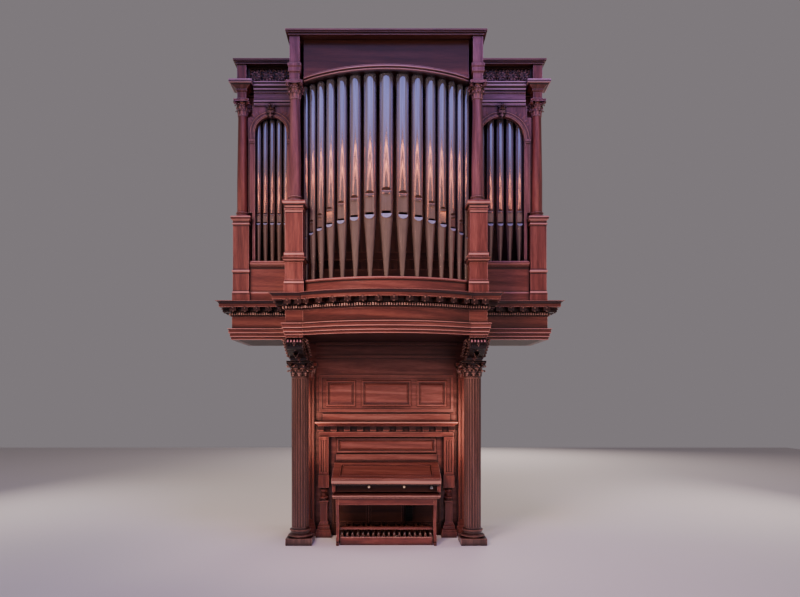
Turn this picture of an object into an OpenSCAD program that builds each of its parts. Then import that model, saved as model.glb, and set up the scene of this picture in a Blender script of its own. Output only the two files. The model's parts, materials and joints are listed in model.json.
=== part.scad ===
// Pipe organ with a bowed front: a panelled lower case with keydesk, bench and
// pedals between two fluted columns, and an upper case of display pipes on a
// moulded beam. +Z is up, the player sits on the -Y side, the origin is on the
// floor under the middle of the whole organ.

/* [Lower case] */
// Clear width between the shelf's end and a big column
column_gap = 40; // [30:1:60]
// Height of the big columns, from the floor to the top of the capital
column_h = 2262; // [2100:10:2400]
// Diameter of the fluted shafts
shaft_d = 212; // [180:2:230]
// Number of flutes on each shaft
flutes = 20; // [16:1:24]
// Radius of the round cutter that makes a flute
flute_r = 12; // [8:0.5:13]
// Side of the square plinth under a column
plinth_w = 320; // [300:5:340]
// Height of that plinth
plinth_h = 85; // [60:5:110]
// Height of the moulded base above the plinth
column_base_h = 100; // [80:5:120]
// Height of the carved capital
capital_h = 196; // [160:2:230]
// Distance from the front of the piers to the middle of the big columns
column_y = 513; // [480:5:540]
// Distance from the front of the piers to the panelled wall of the recess
recess_y = 970; // [920:10:1020]
// Depth of the closed case behind that wall
case_depth = 630; // [500:10:800]
// Thickness of the boards of the case
board_t = 40; // [25:1:50]

/* [Beam] */
// Height of the scroll brackets over the capitals
bracket_h = 250; // [220:5:280]
// Width of the piers over the brackets
pier_w = 205; // [180:5:230]
// Height of the stepped lower band of the beam
architrave_h = 138; // [110:2:160]
// Height of the plain middle band
frieze_h = 150; // [120:5:180]
// Height of the band that carries the small blocks
bed_h = 110; // [95:5:130]
// Height of the crowning moulding
corona_h = 75; // [60:5:90]
// How far the crowning moulding stands out
cornice_out = 170; // [150:5:190]
// How far the bow comes forward of the piers
bow_rise = 270; // [200:10:320]
// How far the side bays stand behind the piers
side_y = 620; // [560:10:660]
// Thickness of the beam's front
beam_t = 60; // [40:5:80]
// Width of the blocks under the crowning moulding
block_w = 78; // [60:2:90]
// Largest spacing of those blocks
block_pitch = 148; // [130:2:200]

/* [Upper case] */
// Distance from a pier's middle to the middle of the side arch beside it
arch_run = 400; // [395:1:410]
// Distance from the middle of the left arch to the left outer post
post_run_left = 365; // [350:1:380]
// Distance from the middle of the right arch to the right outer post
post_run_right = 452; // [430:1:456]
// Width of the wall between an arch's opening and the middle of the outer post
arch_side = 160; // [155:1:180]
// Height of the panelled fronts under the side arches
sill_h = 530; // [480:10:560]
// Height of the pedestals under the slim columns
pedestal_h = 1090; // [1000:10:1150]
// Half of the width of the pedestals of the slim columns
pedestal_r = 102; // [90:1:110]
// Height of the middle slim columns without their pedestals
slim_h = 1405; // [1350:1:1450]
// Height of the outer slim columns without their pedestals
outer_slim_h = 1490; // [1460:1:1520]
// Diameter of the slim columns at their foot
slim_d = 138; // [120:2:150]
// Diameter of the slim columns at their neck
slim_neck_d = 112; // [90:2:118]
// Height of the capitals of the slim columns
slim_capital_h = 199; // [170:1:220]
// Height of the moulded foot of the slim columns
slim_base_h = 66; // [50:2:80]
// Height of the square block over these capitals
impost_h = 138; // [120:2:160]
// Height of the cap on that block
impost_cap_h = 69; // [60:1:80]
// Height of the side arches' crowns over their sills
arch_h = 1851; // [1780:1:1880]
// Width of the moulded rim round the side arches
arch_rim = 64; // [40:2:70]
// Height of the beam over the side arches
side_beam_h = 280; // [280:2:320]
// Height of the carved band over that beam
carved_h = 224; // [200:2:250]
// Thickness of the roof boards with their edge moulding
roof_t = 56; // [50:2:80]
// Height of the curved moulding over the middle pipes
crest_h = 60; // [50:2:90]

/* [Pipes] */
// Number of display pipes on each side of the middle one
pipes_beside = 7; // [5:1:7]
// Diameter of the middle pipe
pipe_d = 165; // [150:1:170]
// Diameter of the outermost pipes of the bow
pipe_end_d = 72; // [60:1:80]
// Clear width between the outermost pipes of the bow and the wall beside them
pipe_side = 52; // [46:1:60]
// Height of the foot of the middle pipe, up to its mouth
foot_h = 779; // [700:1:790]
// How much lower the mouths of the outermost pipes are
mouth_fall = 206; // [180:2:240]
// Distance from the bow's front to the middle of the pipes
pipe_setback = 235; // [225:1:260]
// Diameter of the tip that a pipe stands on
toe_d = 44; // [36:1:48]
// Wall of the pipes
pipe_wall = 3; // [2:0.5:5]
// Number of pipes in each side bay
side_pipes = 5; // [3:1:5]
// Height of the foot of a side pipe, up to its mouth
side_foot_h = 529; // [450:1:560]

/* [Keydesk] */
// How far the keydesk reaches past the bench's seat at each end
desk_over = 13; // [5:1:25]
// Clear height between the bench's seat and the keydesk
desk_clear = 25; // [20:1:45]
// Height of the keydesk from its underside to the hinge of the lid
desk_h = 308; // [300:2:320]
// Length of the sloping lid, from its hinge to its front edge
lid_l = 490; // [450:5:495]
// Slope of the closed lid
lid_slope = 18; // [16:0.5:20]
// Thickness of the lid
lid_t = 24; // [18:1:28]
// Depth of the lip along the lid's front edge
lip_h = 54; // [40:1:56]
// Spacing of the white keys
key_pitch = 23.5; // [22:0.1:24]
// White keys on each keyboard
white_keys = 36; // [22:7:36]
// Height of the shelf's top over the hinge of the lid
shelf_rise = 544; // [530:2:600]
// Width of the posts under the shelf
shelf_post_w = 124; // [110:2:136]
// Clear width between the keydesk and those posts
shelf_post_gap = 78; // [60:1:90]
// How far the shelf reaches past its posts
shelf_over = 52; // [40:1:60]
// How far the shelf stands out from the wall
shelf_out = 150; // [120:5:160]

/* [Bench and pedals] */
// How far the bench's seat reaches past its end boards
bench_over = 46; // [30:1:60]
// Thickness of the bench's end boards
bench_end_t = 34; // [28:1:40]
// Clear width between the pedals and the bench's end boards
bench_play = 13; // [10:1:20]
// Height of the bench
bench_h = 615; // [600:1:625]
// Depth of the bench's seat
bench_d = 300; // [260:5:310]
// Spacing of the long pedals
pedal_pitch = 64; // [60:0.5:64]
// Number of long pedals
pedals = 18; // [15:1:18]

/* [Hidden] */
$fn = 64;

oak = [0.42, 0.17, 0.12];
dark_oak = [0.26, 0.10, 0.08];
pipe_metal = [0.62, 0.58, 0.62];

// Widths of the lower case, worked out from the pedals outwards
pedal_w2 = pedals * pedal_pitch / 2 - 9;
bench_w2 = pedal_w2 + bench_play + bench_end_t + bench_over;
desk_w2 = bench_w2 + desk_over;
shelf_post_x = desk_w2 + shelf_post_gap + shelf_post_w / 2;
shelf_w2 = shelf_post_x + shelf_post_w / 2 + shelf_over;
column_x = shelf_w2 + column_gap + shaft_d / 2;
pier_x = column_x;
arch_x = pier_x + arch_run;
arch_r_left = post_run_left - arch_side;
arch_r_right = post_run_right - arch_side;
post_x_left = arch_x + post_run_left;
post_x_right = arch_x + post_run_right;
// Heights of the lower case
desk_z = bench_h + desk_clear;
hinge_z = desk_z + desk_h;
shelf_z = hinge_z + shelf_rise;
bench_y = column_y - 183;
// Heights of the beam's bands
pier_z = column_h + bracket_h;
beam_z = pier_z + 28;
beam_h = architrave_h + frieze_h + bed_h + corona_h;
floor_z = beam_z + beam_h;
// The bow: its chord runs between the piers
bow_half = pier_x - pier_w / 2;
bow_r = (pow(bow_half, 2) + pow(bow_rise, 2)) / (2 * bow_rise);
bow_y = bow_r - bow_rise;
bow_angle = asin(bow_half / bow_r);
pier_out_x = pier_x + pier_w / 2;
back_y = recess_y + case_depth;
front_y = bow_y - bow_r - cornice_out;
// Half width of the lower case
case_w2 = column_x + 107;
end_in = 112;
left_end = post_x_left + end_in;
right_end = post_x_right + end_in;
mid_x = (right_end - left_end) / 2;
mid_y = (front_y + back_y) / 2;
far = 6000;
// Cove under the edge of the crowning moulding, and how far the small blocks stand out
cove_r = 38;
block_out = cornice_out - cove_r - 8;
block_h = 46;
// Upper case
pedestal_z = floor_z + pedestal_h;
capital_z = pedestal_z + slim_h - slim_capital_h;
impost_z = pedestal_z + slim_h;
impost_top = impost_z + impost_h + impost_cap_h;
pedestal_y = 85;
post_y = side_y + pedestal_r;
arch_z = floor_z + sill_h;
arch_top = arch_z + arch_h;
side_beam_z = arch_top + 146;
carved_z = side_beam_z + side_beam_h;
roof_z = carved_z + carved_h;
toe_h = 167;
toe_z = floor_z + toe_h;
crest_z = impost_z + 23;
pipe_top = crest_z + 20;
// Front of the chests in the side bays, and of the wall behind each outer column
screen_y = side_y + 150;
corner_y = post_y + 150;
wall_t = 20;
// Half of the width of the short posts under the roof
top_post = 58;
// Clear width between an outer post and the wall that steps back round it
post_gap = 25;
chest_w2 = bow_half - 72;
chest_y = 460;
chest_d = 540;
chest_h = 380;
rack_z = floor_z + chest_h + 140;
rack_h = 100;
// Clear half width of a side bay, from the arch's middle to the step round the post
function bay_clear(post_x) = post_x - pedestal_r - post_gap - wall_t - arch_x;
// Pipes of the bow: diameters fall evenly towards the sides
pipe_r0 = bow_r - pipe_setback;
function bow_d(i) = pipe_d - (pipe_d - pipe_end_d) * i / pipes_beside;
pipe_sum = pipes_beside * (pipe_d + pipe_end_d) / 2;
pipe_end_x = pier_x - wall_t - pipe_side - pipe_end_d / 2;
pipe_gap = (asin(pipe_end_x / pipe_r0) * PI / 180 * pipe_r0 - pipe_sum) / pipes_beside;
function bow_run(i) = i == 0 ? 0 : bow_run(i - 1) + (bow_d(i) + bow_d(i - 1)) / 2 + pipe_gap;
function bow_deg(i) = bow_run(i) / pipe_r0 * 180 / PI;
function bow_mouth(i) = foot_h - mouth_fall * pow(i / pipes_beside, 1.4);
// Desk
desk_back = recess_y - 10;
hinge_y = recess_y - 70;
lid_front_y = hinge_y - lid_l * cos(lid_slope);
lid_front_z = hinge_z - lid_l * sin(lid_slope);
// A point of the closed lid, by its distance from the hinge and over the lid's middle
function lid_at(run, up) = [
  hinge_y + run * cos(lid_slope) - up * sin(lid_slope),
  hinge_z + run * sin(lid_slope) + up * cos(lid_slope)
];
lid_r = lid_t / 2;
key_w2 = white_keys * key_pitch / 2;
cheek_t = 40;
rail_drop = 28;
shelf_drop = 195;
// Half of the width of the feet under the shelf's posts
shelf_foot_w2 = 98;
// Shoe of the swell pedal: its middle, width and lower edge
swell_x = 300;
swell_w = 100;
swell_z = 192;
seat = 0.3;

// Points of a quarter round, from angle a0 to a1
function arc(cx, cy, r, a0, a1, n = 5) =
  [for (i = [0:n]) let (a = a0 + (a1 - a0) * i / n) [cx + r * cos(a), cy + r * sin(a)]];

// Profile of the big beam, as [out, up] from its foot
beam_profile = concat(
  [[10, 0], [10, 28], [22, 34], [22, 74], [36, 80], [36, architrave_h - 14], [46, architrave_h - 8],
   [46, architrave_h], [0, architrave_h + 8], [0, architrave_h + frieze_h],
   [12, architrave_h + frieze_h + 6], [12, architrave_h + frieze_h + 58],
   [30, architrave_h + frieze_h + 64], [30, architrave_h + frieze_h + bed_h],
   [cornice_out - cove_r, architrave_h + frieze_h + bed_h]],
  arc(cornice_out, beam_h - cove_r - 4, cove_r, 180, 90, 4),
  [[cornice_out, beam_h]]
);

// Profile of the small beam over the side arches
side_beam_profile = [
  [8, 0], [8, 28], [20, 36], [20, 60], [0, 68], [0, side_beam_h - 130], [14, side_beam_h - 118],
  [14, side_beam_h - 100], [30, side_beam_h - 88], [30, side_beam_h - 72], [52, side_beam_h - 46],
  [52, side_beam_h - 24], [66, side_beam_h - 12], [66, side_beam_h]
];

module place() {
  translate([-mid_x, -mid_y, 0]) children();
}

// A copy on each side of the middle
module both() {
  children();
  mirror([1, 0, 0]) children();
}

// A moulding that runs along X from x0 to x1, facing -Y at y, of depth d behind it
module run_x(profile, x0, x1, y, d) {
  h = profile[len(profile) - 1][1];
  translate([x0, y, 0]) rotate([90, 0, 90]) linear_extrude(x1 - x0)
    polygon(concat([[d, 0]], [for (p = profile) [-p[0], p[1]]], [[d, h]]));
}

// A moulding that runs along Y from y0 to y1, facing +X at x, of depth d behind it
module run_y(profile, y0, y1, x, d) {
  h = profile[len(profile) - 1][1];
  translate([x, y1, 0]) rotate([90, 0, 0]) linear_extrude(y1 - y0)
    polygon(concat([[-d, 0]], [for (p = profile) [p[0], p[1]]], [[-d, h]]));
}

// A square shaft whose half width follows [half, up] points
module square_turned(points, flat = 1) {
  right = [for (p = points) [p[0], p[1]]];
  left = [for (i = [len(points) - 1:-1:0]) [-points[i][0], points[i][1]]];
  side = concat(right, left);
  deep = concat([for (p = points) [p[0] * flat, p[1]]],
                [for (i = [len(points) - 1:-1:0]) [-points[i][0] * flat, points[i][1]]]);
  intersection() {
    rotate([90, 0, 0]) linear_extrude(far / 4, center = true) polygon(side);
    rotate([90, 0, 90]) linear_extrude(far / 4, center = true) polygon(deep);
  }
}

// A round shaft turned from [radius, up] points
module turned(points) {
  top = points[len(points) - 1][1];
  rotate_extrude() polygon(concat([[0, points[0][1]]], points, [[0, top]]));
}

// A plain box from one corner to the other
module slab(a, b) {
  translate(a) cube(b - a);
}

// Torus, hollow and torus over a square plinth
module column_base(r, h) {
  fillet = h * 0.12;
  big = h * 0.3;
  turned(concat(
    [[r + big, 0]],
    arc(r + big, big / 2 + 2, big / 2, -80, 80, 4),
    [[r + big * 0.6, big + fillet], [r + fillet * 0.6, big * 1.6], [r + fillet, h - big * 0.8]],
    arc(r + fillet, h - big * 0.4, big * 0.4, -70, 70, 4),
    [[r, h]]
  ));
}

// A fluted shaft
module fluted_shaft(r, h) {
  difference() {
    cylinder(r = r, h = h);
    for (i = [0:flutes - 1]) rotate([0, 0, (i + 0.5) * 360 / flutes])
      translate([r + flute_r * 0.35, 0, flute_r * 2]) cylinder(r = flute_r, h = h - flute_r * 4, $fn = 24);
  }
}

module big_column() {
  slab([-plinth_w / 2, -plinth_w / 2, 0], [plinth_w / 2, plinth_w / 2, plinth_h]);
  translate([0, 0, plinth_h]) column_base(shaft_d / 2, column_base_h);
  translate([0, 0, plinth_h + column_base_h])
    fluted_shaft(shaft_d / 2, column_h - capital_h - plinth_h - column_base_h);
}

// A ring of n curled leaves that stand out from a bell of radius r
module leaves(r, n, low, high, out, start) {
  wide = 0.76 * 360 / n;
  span = high - low;
  curl = [
    [r - 4, low], [r + 5, low], [r + 7, low + span * 0.55], [r + out * 0.55, low + span * 0.82],
    [r + out * 0.9, low + span * 0.74], [r + out, low + span * 0.86], [r + out * 0.8, high],
    [r + out * 0.4, high - 1], [r - 4, high - span * 0.3]
  ];
  for (i = [0:n - 1]) rotate([0, 0, start + i * 360 / n - wide / 2])
    rotate_extrude(angle = wide) polygon(curl);
}

// Flat bracket leaf for a pilaster's capital, seen from its side
module flat_leaf(w, h, out) {
  translate([-w / 2, 0, 0]) rotate([90, 0, 90]) linear_extrude(w)
    polygon([[4, 0], [-6, 0], [-8, h * 0.55], [-out * 0.7, h * 0.8], [-out, h * 0.86], [-out * 0.8, h], [4, h * 0.8]]);
}

// Bell, two rings of leaves, corner scrolls and a square top slab
module capital(r, h, top_w2) {
  slab_h = h * 0.13;
  reach = top_w2 * 1.12;
  curl_r = h * 0.105;
  turned([[r, 0], [r + 7, 4], [r + 7, 12], [r + 1, 16], [r + 2, h * 0.5], [r * 1.22, h - slab_h]]);
  leaves(r, 8, 14, h * 0.42, r * 0.3, 0);
  leaves(r + 1, 8, h * 0.36, h * 0.7, r * 0.36, 22.5);
  for (i = [0:3]) rotate([0, 0, i * 90 + 45]) {
    translate([reach, 11, h - slab_h - curl_r * 0.8]) rotate([90, 0, 0]) cylinder(r = curl_r, h = 22, $fn = 32);
    translate([0, 8, 0]) rotate([90, 0, 0]) linear_extrude(16)
      polygon([[r * 0.8, h * 0.6], [reach, h * 0.74], [reach, h - slab_h + 2], [r * 0.8, h - slab_h + 2]]);
  }
  difference() {
    translate([0, 0, h - slab_h]) slab([-top_w2, -top_w2, 0], [top_w2, top_w2, slab_h]);
    for (i = [0:3]) rotate([0, 0, i * 90])
      translate([0, -top_w2 * 3.35, h - slab_h - 1]) cylinder(r = top_w2 * 2.5, h = slab_h + 2);
  }
}

// Scrolled bracket between a capital and a pier, seen from its side
module bracket() {
  reach = column_y + 100;
  eye = bracket_h * 0.27;
  low = 34;
  w = pier_w - 20;
  translate([-w / 2, 0, 0]) rotate([90, 0, 90]) linear_extrude(w)
    polygon(concat(
      [[column_y + 130, 0], [column_y + 130, bracket_h], [eye * 0.4, bracket_h], [eye * 0.4, bracket_h - 12]],
      [for (i = [0:8]) let (t = i / 8)
        [eye + t * (column_y - 160 - eye), (bracket_h - eye * 1.9) * (1 - t) + low * t - 26 * sin(t * 180)]],
      [[column_y - 150, 0]]
    ));
  translate([-w / 2 - 5, eye, bracket_h - eye - 6]) rotate([0, 90, 0]) cylinder(r = eye, h = w + 10);
  translate([-w / 2 - 5, column_y - 150, low + 2]) rotate([0, 90, 0]) cylinder(r = low, h = w + 10);
}

module columns() {
  color(dark_oak) place() both() translate([column_x, column_y, 0]) big_column();
}

module capitals() {
  color(dark_oak) place() both()
    translate([column_x, column_y, column_h - capital_h]) capital(shaft_d / 2, capital_h, shaft_d / 2 + 44);
}

module brackets() {
  color(dark_oak) place() both() translate([(column_x + pier_x) / 2, 0, column_h]) bracket();
}

// Flat pilaster with its own base and capital, on the wall behind each column
module respond() {
  w2 = shaft_d / 2 + 20;
  d = 60;
  groove_w = 13;
  base = [[w2 + 34, 0], [w2 + 34, plinth_h], [w2 + 26, plinth_h + 6], [w2 + 26, plinth_h + 40],
          [w2 + 8, plinth_h + 50], [w2 + 14, plinth_h + 80], [w2, column_base_h + plinth_h]];
  top = column_h - capital_h;
  difference() {
    translate([0, recess_y, 0]) intersection() {
      slab([-far, -far, 0], [far, 0, far]);
      union() {
        square_turned(base, d / w2);
        slab([-w2, -d, 10], [w2, 0, top]);
        slab([-w2 - 8, -d - 8, top], [w2 + 8, 0, top + 14]);
        slab([-w2, -d, top], [w2, 0, top + capital_h - 40]);
        slab([-w2 - 36, -d - 36, top + capital_h - 40], [w2 + 36, 0, column_h]);
        for (x = [-0.78, -0.26, 0.26, 0.78]) translate([x * w2, -d, top + 14])
          flat_leaf(w2 * 0.42, capital_h * 0.6, 34);
      }
    }
    for (i = [-2:2]) translate([i * w2 / 2.8, recess_y - d, plinth_h + column_base_h + 30])
      cylinder(r = groove_w, h = top - plinth_h - column_base_h - 60, $fn = 24);
  }
}

module responds() {
  color(dark_oak) place() both() translate([column_x, 0, 0]) respond();
}

// A raised field within a sunk panel, cut from the wall's face
module sunk_panel(x0, x1, z0, z1, y, deep = 14, band = 26) {
  difference() {
    slab([x0, y - 1, z0], [x1, y + deep, z1]);
    slab([x0 + band, y + 5, z0 + band], [x1 - band, y + deep + 1, z1 - band]);
  }
}

// A flat field that stands out from the wall, with sloping edges
module raised_field(x0, x1, z0, z1, y, rise, slope) {
  intersection() {
    translate([0, 0, z0]) linear_extrude(z1 - z0)
      polygon([[x0, y + 1], [x0, y], [x0 + slope, y - rise], [x1 - slope, y - rise], [x1, y], [x1, y + 1]]);
    translate([x0, 0, 0]) rotate([90, 0, 90]) linear_extrude(x1 - x0)
      polygon([[y + 1, z0], [y, z0], [y - rise, z0 + slope], [y - rise, z1 - slope], [y, z1], [y + 1, z1]]);
  }
}

// A moulded frame that stands out from the wall round a field
module framed_field(x0, x1, z0, z1, y, w = 30, rise = 16) {
  difference() {
    raised_field(x0, x1, z0, z1, y, rise, rise * 0.8);
    slab([x0 + w, y - rise - 1, z0 + w], [x1 - w, y - 2, z1 - w]);
  }
  raised_field(x0 + w + 14, x1 - w - 14, z0 + w + 14, z1 - w - 14, y - 1, rise * 0.8, 26);
}

// Panelled wall of the recess: three fields over the shelf and a long one under it
module recess_wall() {
  field_z = shelf_z + 126;
  field_top = column_h - 156;
  frame_w2 = shelf_w2 - 43;
  rail = 66;
  side_in = frame_w2 * 0.45;
  side_out = frame_w2 - 84;
  between_shafts = column_x - shaft_d / 2 - 40;
  long_w2 = desk_w2 - 9;
  ledge_z = hinge_z + 28;
  ledge_h = 84;
  color(oak) place() {
    slab([-case_w2 + board_t, recess_y, 0], [case_w2 - board_t, recess_y + board_t, beam_z]);
    difference() {
      slab([-frame_w2, recess_y - 14, field_z], [frame_w2, recess_y + 1, field_top]);
      slab([-frame_w2 + 34, recess_y - 15, field_z + 34], [frame_w2 - 34, recess_y - 1, field_top - 34]);
    }
    both() framed_field(side_in, side_out, field_z + rail, field_top - rail, recess_y);
    framed_field(-side_in + rail, side_in - rail, field_z + rail, field_top - rail, recess_y);
    framed_field(-long_w2, long_w2, ledge_z + ledge_h + 12, shelf_z - 207, recess_y);
    slab([-desk_w2 + 12, recess_y - 30, ledge_z], [desk_w2 - 12, recess_y + 1, ledge_z + ledge_h]);
    slab([-frame_w2 + 46, recess_y - 22, shelf_z], [frame_w2 - 46, recess_y + 1, field_z - 27]);
    slab([-between_shafts, recess_y - 30, column_h + 68], [between_shafts, recess_y + 1, column_h + 100]);
    slab([-between_shafts, recess_y - 44, beam_z - 40], [between_shafts, recess_y + 1, beam_z]);
  }
}

module case_sides() {
  rail = 150;
  band = 26;
  h = (beam_z - 3 * rail) / 2;
  color(oak) place() both() difference() {
    slab([case_w2 - board_t, recess_y, 0], [case_w2, back_y, beam_z]);
    for (z = [rail, 2 * rail + h]) translate([case_w2, 0, 0])
      difference() {
        slab([-14, recess_y + rail * 0.6, z], [1, back_y - rail * 0.6, z + h]);
        slab([-15, recess_y + rail * 0.6 + band, z + band], [-5, back_y - rail * 0.6 - band, z + h - band]);
      }
  }
}

// Back wall with sunk panels between its stiles and rails
module framed_back(x0, x1, z0, z1, across, rows) {
  rail = 130;
  w = (x1 - x0 - (across + 1) * rail) / across;
  h = (z1 - z0 - (rows + 1) * rail) / rows;
  difference() {
    slab([x0, back_y - board_t, z0], [x1, back_y, z1]);
    for (i = [0:across - 1], k = [0:rows - 1])
      translate([x0 + rail + i * (w + rail), back_y, z0 + rail + k * (h + rail)]) slab([0, -14, 0], [w, 1, h]);
  }
}

module case_back() {
  color(dark_oak) place() framed_back(-case_w2 + board_t, case_w2 - board_t, 0, beam_z, 4, 2);
}

// Shelf over the keydesk, with its row of blocks
module shelf() {
  edge_h = 60;
  w = 76;
  n = round((2 * shelf_w2 - 140) / 171);
  under_w2 = shelf_w2 - 47;
  profile = [[shelf_out - 44, 0], [shelf_out - 34, 18], [shelf_out - 16, 26], [shelf_out, 44], [shelf_out, edge_h]];
  color(oak) place() {
    translate([0, 0, shelf_z - edge_h]) intersection() {
      run_x(profile, -far, far, recess_y, 0);
      both_ends(profile, shelf_w2 - shelf_out);
    }
    for (i = [0:n]) translate([(i / n - 0.5) * (2 * shelf_w2 - 140), 0, 0])
      slab([-w / 2, recess_y - shelf_out + 52, shelf_z - edge_h - 62], [w / 2, recess_y - 36, shelf_z - edge_h]);
    slab([-under_w2, recess_y - 36, shelf_z - 134], [under_w2, recess_y, shelf_z - edge_h]);
    slab([-under_w2, recess_y - 96, shelf_z - shelf_drop], [under_w2, recess_y, shelf_z - 134]);
  }
}

// Symmetric side view of a moulding, as a prism along Y
module both_ends(profile, w2) {
  h = profile[len(profile) - 1][1];
  rotate([90, 0, 0]) linear_extrude(far, center = true)
    polygon(concat([for (p = profile) [w2 + p[0], p[1]]],
                   [for (i = [len(profile) - 1:-1:0]) [-w2 - profile[i][0], profile[i][1]]]));
}

// Posts under the shelf: a fluted upper part on a block, turned rings and a square foot
module shelf_post() {
  top = shelf_z - shelf_drop;
  w2 = shelf_post_w / 2;
  y = recess_y - 84;
  block_top = desk_z + 158;
  foot_h = desk_z - 170;
  translate([shelf_post_x, y, 0]) {
    difference() {
      slab([-w2, -w2 + 14, block_top], [w2, 84, top]);
      for (x = [-30, 0, 30]) translate([x, -w2 + 14, block_top + 42])
        cylinder(r = 9, h = top - block_top - 82, $fn = 24);
    }
    slab([-w2 - 8, -w2, desk_z], [w2 + 8, 84, block_top]);
    translate([0, 0, foot_h])
      turned([[44, 0], [44, 20], [58, 30], [58, 46], [34, 60], [30, 90], [54, 120], [54, 142], [36, 154], [36, 170]]);
    intersection() {
      f = shelf_foot_w2;
      square_turned([[f, 0], [f, 62], [f - 8, 72], [f - 8, 96], [f - 24, 110], [f - 22, 128], [f - 22, 146],
                     [f - 40, 160], [f - 38, 178], [w2 - 16, 200], [w2 - 16, foot_h - 30], [w2 - 6, foot_h - 18],
                     [w2 - 6, foot_h]]);
      slab([-far, -far, 0], [far, 84, foot_h]);
    }
  }
}

module shelf_posts() {
  color(oak) place() both() shelf_post();
}

// Panelled front behind the player's knees, with the shoe of the swell pedal
module knee_panel() {
  w = shelf_post_x - shelf_foot_w2 - 1;
  pitch = (2 * w - 28) / 3;
  y = recess_y - 30;
  color(dark_oak) place() {
    difference() {
      slab([-w, y, 0], [w, recess_y, desk_z]);
      for (i = [0:2]) sunk_panel(-w + 20 + i * pitch, -w + 8 + (i + 1) * pitch, 150, desk_z - 60, y, 10, 24);
    }
    translate([swell_x - swell_w / 2, y, swell_z]) rotate([90, 0, 90]) linear_extrude(swell_w)
      polygon([[12, 0], [-60, 6], [-66, 22], [-28, 200], [12, 212]]);
  }
}

// Side cheeks of the keydesk: their upper edge follows the sloping lid
module desk_cheeks() {
  rest = -lid_r - seat;
  color(oak) place() both()
    translate([desk_w2 - cheek_t, 0, 0]) rotate([90, 0, 90]) linear_extrude(cheek_t)
      polygon([
        [lid_front_y + 30, desk_z], [desk_back - 20, desk_z], [desk_back - 20, hinge_z - rail_drop],
        lid_at(-60, rest - 10), lid_at(-80, rest), lid_at(-lid_l + 70, rest),
        [lid_front_y + 62, lid_front_z - lip_h], [lid_front_y + 30, lid_front_z - lip_h]
      ]);
}

module key_bed() {
  w = desk_w2 - cheek_t;
  y0 = lid_front_y + 76;
  color(dark_oak) place() {
    slab([-w, y0, desk_z], [w, desk_back - 20, desk_z + 40]);
    slab([-w, y0, desk_z + 40], [w, y0 + 24, desk_z + 78]);
    slab([-w, desk_back - 60, desk_z + 40], [w, desk_back - 20, hinge_z - rail_drop]);
    slab([-desk_w2 + 10, hinge_y + lid_r + 2 * seat, hinge_z - rail_drop], [desk_w2 - 10, recess_y, hinge_z + 26]);
  }
}

// One keyboard: white keys, with black keys between them in twos and threes
module keyboard(y, z, l) {
  gap = 1.2;
  for (i = [0:white_keys - 1]) translate([-key_w2 + i * key_pitch, y, z])
    slab([gap / 2, 0, 0], [key_pitch - gap / 2, l, 18]);
  for (i = [1:white_keys - 1]) if (i % 7 != 3 && i % 7 != 0)
    translate([-key_w2 + i * key_pitch, y + l * 0.36, z + 18]) slab([-6, 0, 0], [6, l * 0.64, 10]);
}

module keyboards() {
  z = desk_z + 40;
  y = lid_front_y + 104;
  color("ivory") place() {
    keyboard(y, z + 32, 130);
    slab([-key_w2, y + 6, z], [key_w2, y + 236, z + 32]);
    slab([-key_w2, y + 131, z + 32], [key_w2, y + 236, z + 84]);
    keyboard(y + 112, z + 84, 118);
  }
}

// Boards beside the keys with their draw knobs
module stop_jambs() {
  z = desk_z + 40;
  w = desk_w2 - cheek_t;
  y = lid_front_y + 190;
  n = floor((w - key_w2 - 8 - 56) / 46);
  color(oak) place() both() {
    slab([key_w2 + 8, y, z], [w, y + 20, z + 130]);
    for (row = [0:1], i = [0:n])
      translate([key_w2 + 36 + i * 46, y, z + 40 + row * 52]) rotate([90, 0, 0])
        rotate_extrude() polygon([[0, 0], [6, 0], [6, 24], [15, 28], [15, 38], [0, 40]]);
  }
}

// Sloping lid with a raised field in its frame, a round back edge and a front lip
module lid() {
  w = desk_w2 + 4;
  color(oak) place() {
    translate([0, hinge_y, hinge_z]) rotate([lid_slope, 0, 0]) {
      difference() {
        slab([-w, -lid_l, -lid_r], [w, 0, lid_r]);
        slab([-w + 96, -lid_l + 74, lid_r - 8], [w - 96, -74, lid_r + 1]);
      }
      slab([-w + 116, -lid_l + 94, lid_r - 9], [w - 116, -94, lid_r - 2]);
      translate([-w, 0, 0]) rotate([0, 90, 0]) cylinder(r = lid_r, h = 2 * w);
    }
    slab([-w, lid_front_y, lid_front_z - lip_h], [w, lid_front_y + 22, lid_front_z]);
  }
}

module pedal_frame() {
  w = pedal_w2;
  y = column_y - 127;
  color(dark_oak) place() {
    slab([-w, y, 0], [w, y + 30, 100]);
    slab([-w, recess_y - 70, 0], [w, recess_y - 30, 100]);
    both() slab([w - 24, y + 30, 0], [w, recess_y - 70, 100]);
  }
}

module pedal_keys() {
  y = column_y - 127;
  color(oak) place() {
    for (i = [0:pedals - 1]) translate([(i - (pedals - 1) / 2) * pedal_pitch, 0, 100])
      slab([-12, y + 6, 0], [12, recess_y - 64, 34]);
    for (i = [1:pedals - 1]) if (i % 7 != 3 && i % 7 != 0)
      translate([(i - pedals / 2) * pedal_pitch, 0, 100])
        slab([-11, y + 200, 0], [11, recess_y - 64, 70]);
  }
}

module bench_seat() {
  profile = [[-10, 0], [-10, 10], [0, 18], [0, 34]];
  color(oak) place() translate([0, 0, bench_h - 34]) intersection() {
    both_ends(profile, bench_w2);
    translate([0, bench_y + bench_d / 2, 0]) rotate([0, 0, 90]) both_ends(profile, bench_d / 2);
  }
}

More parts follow.
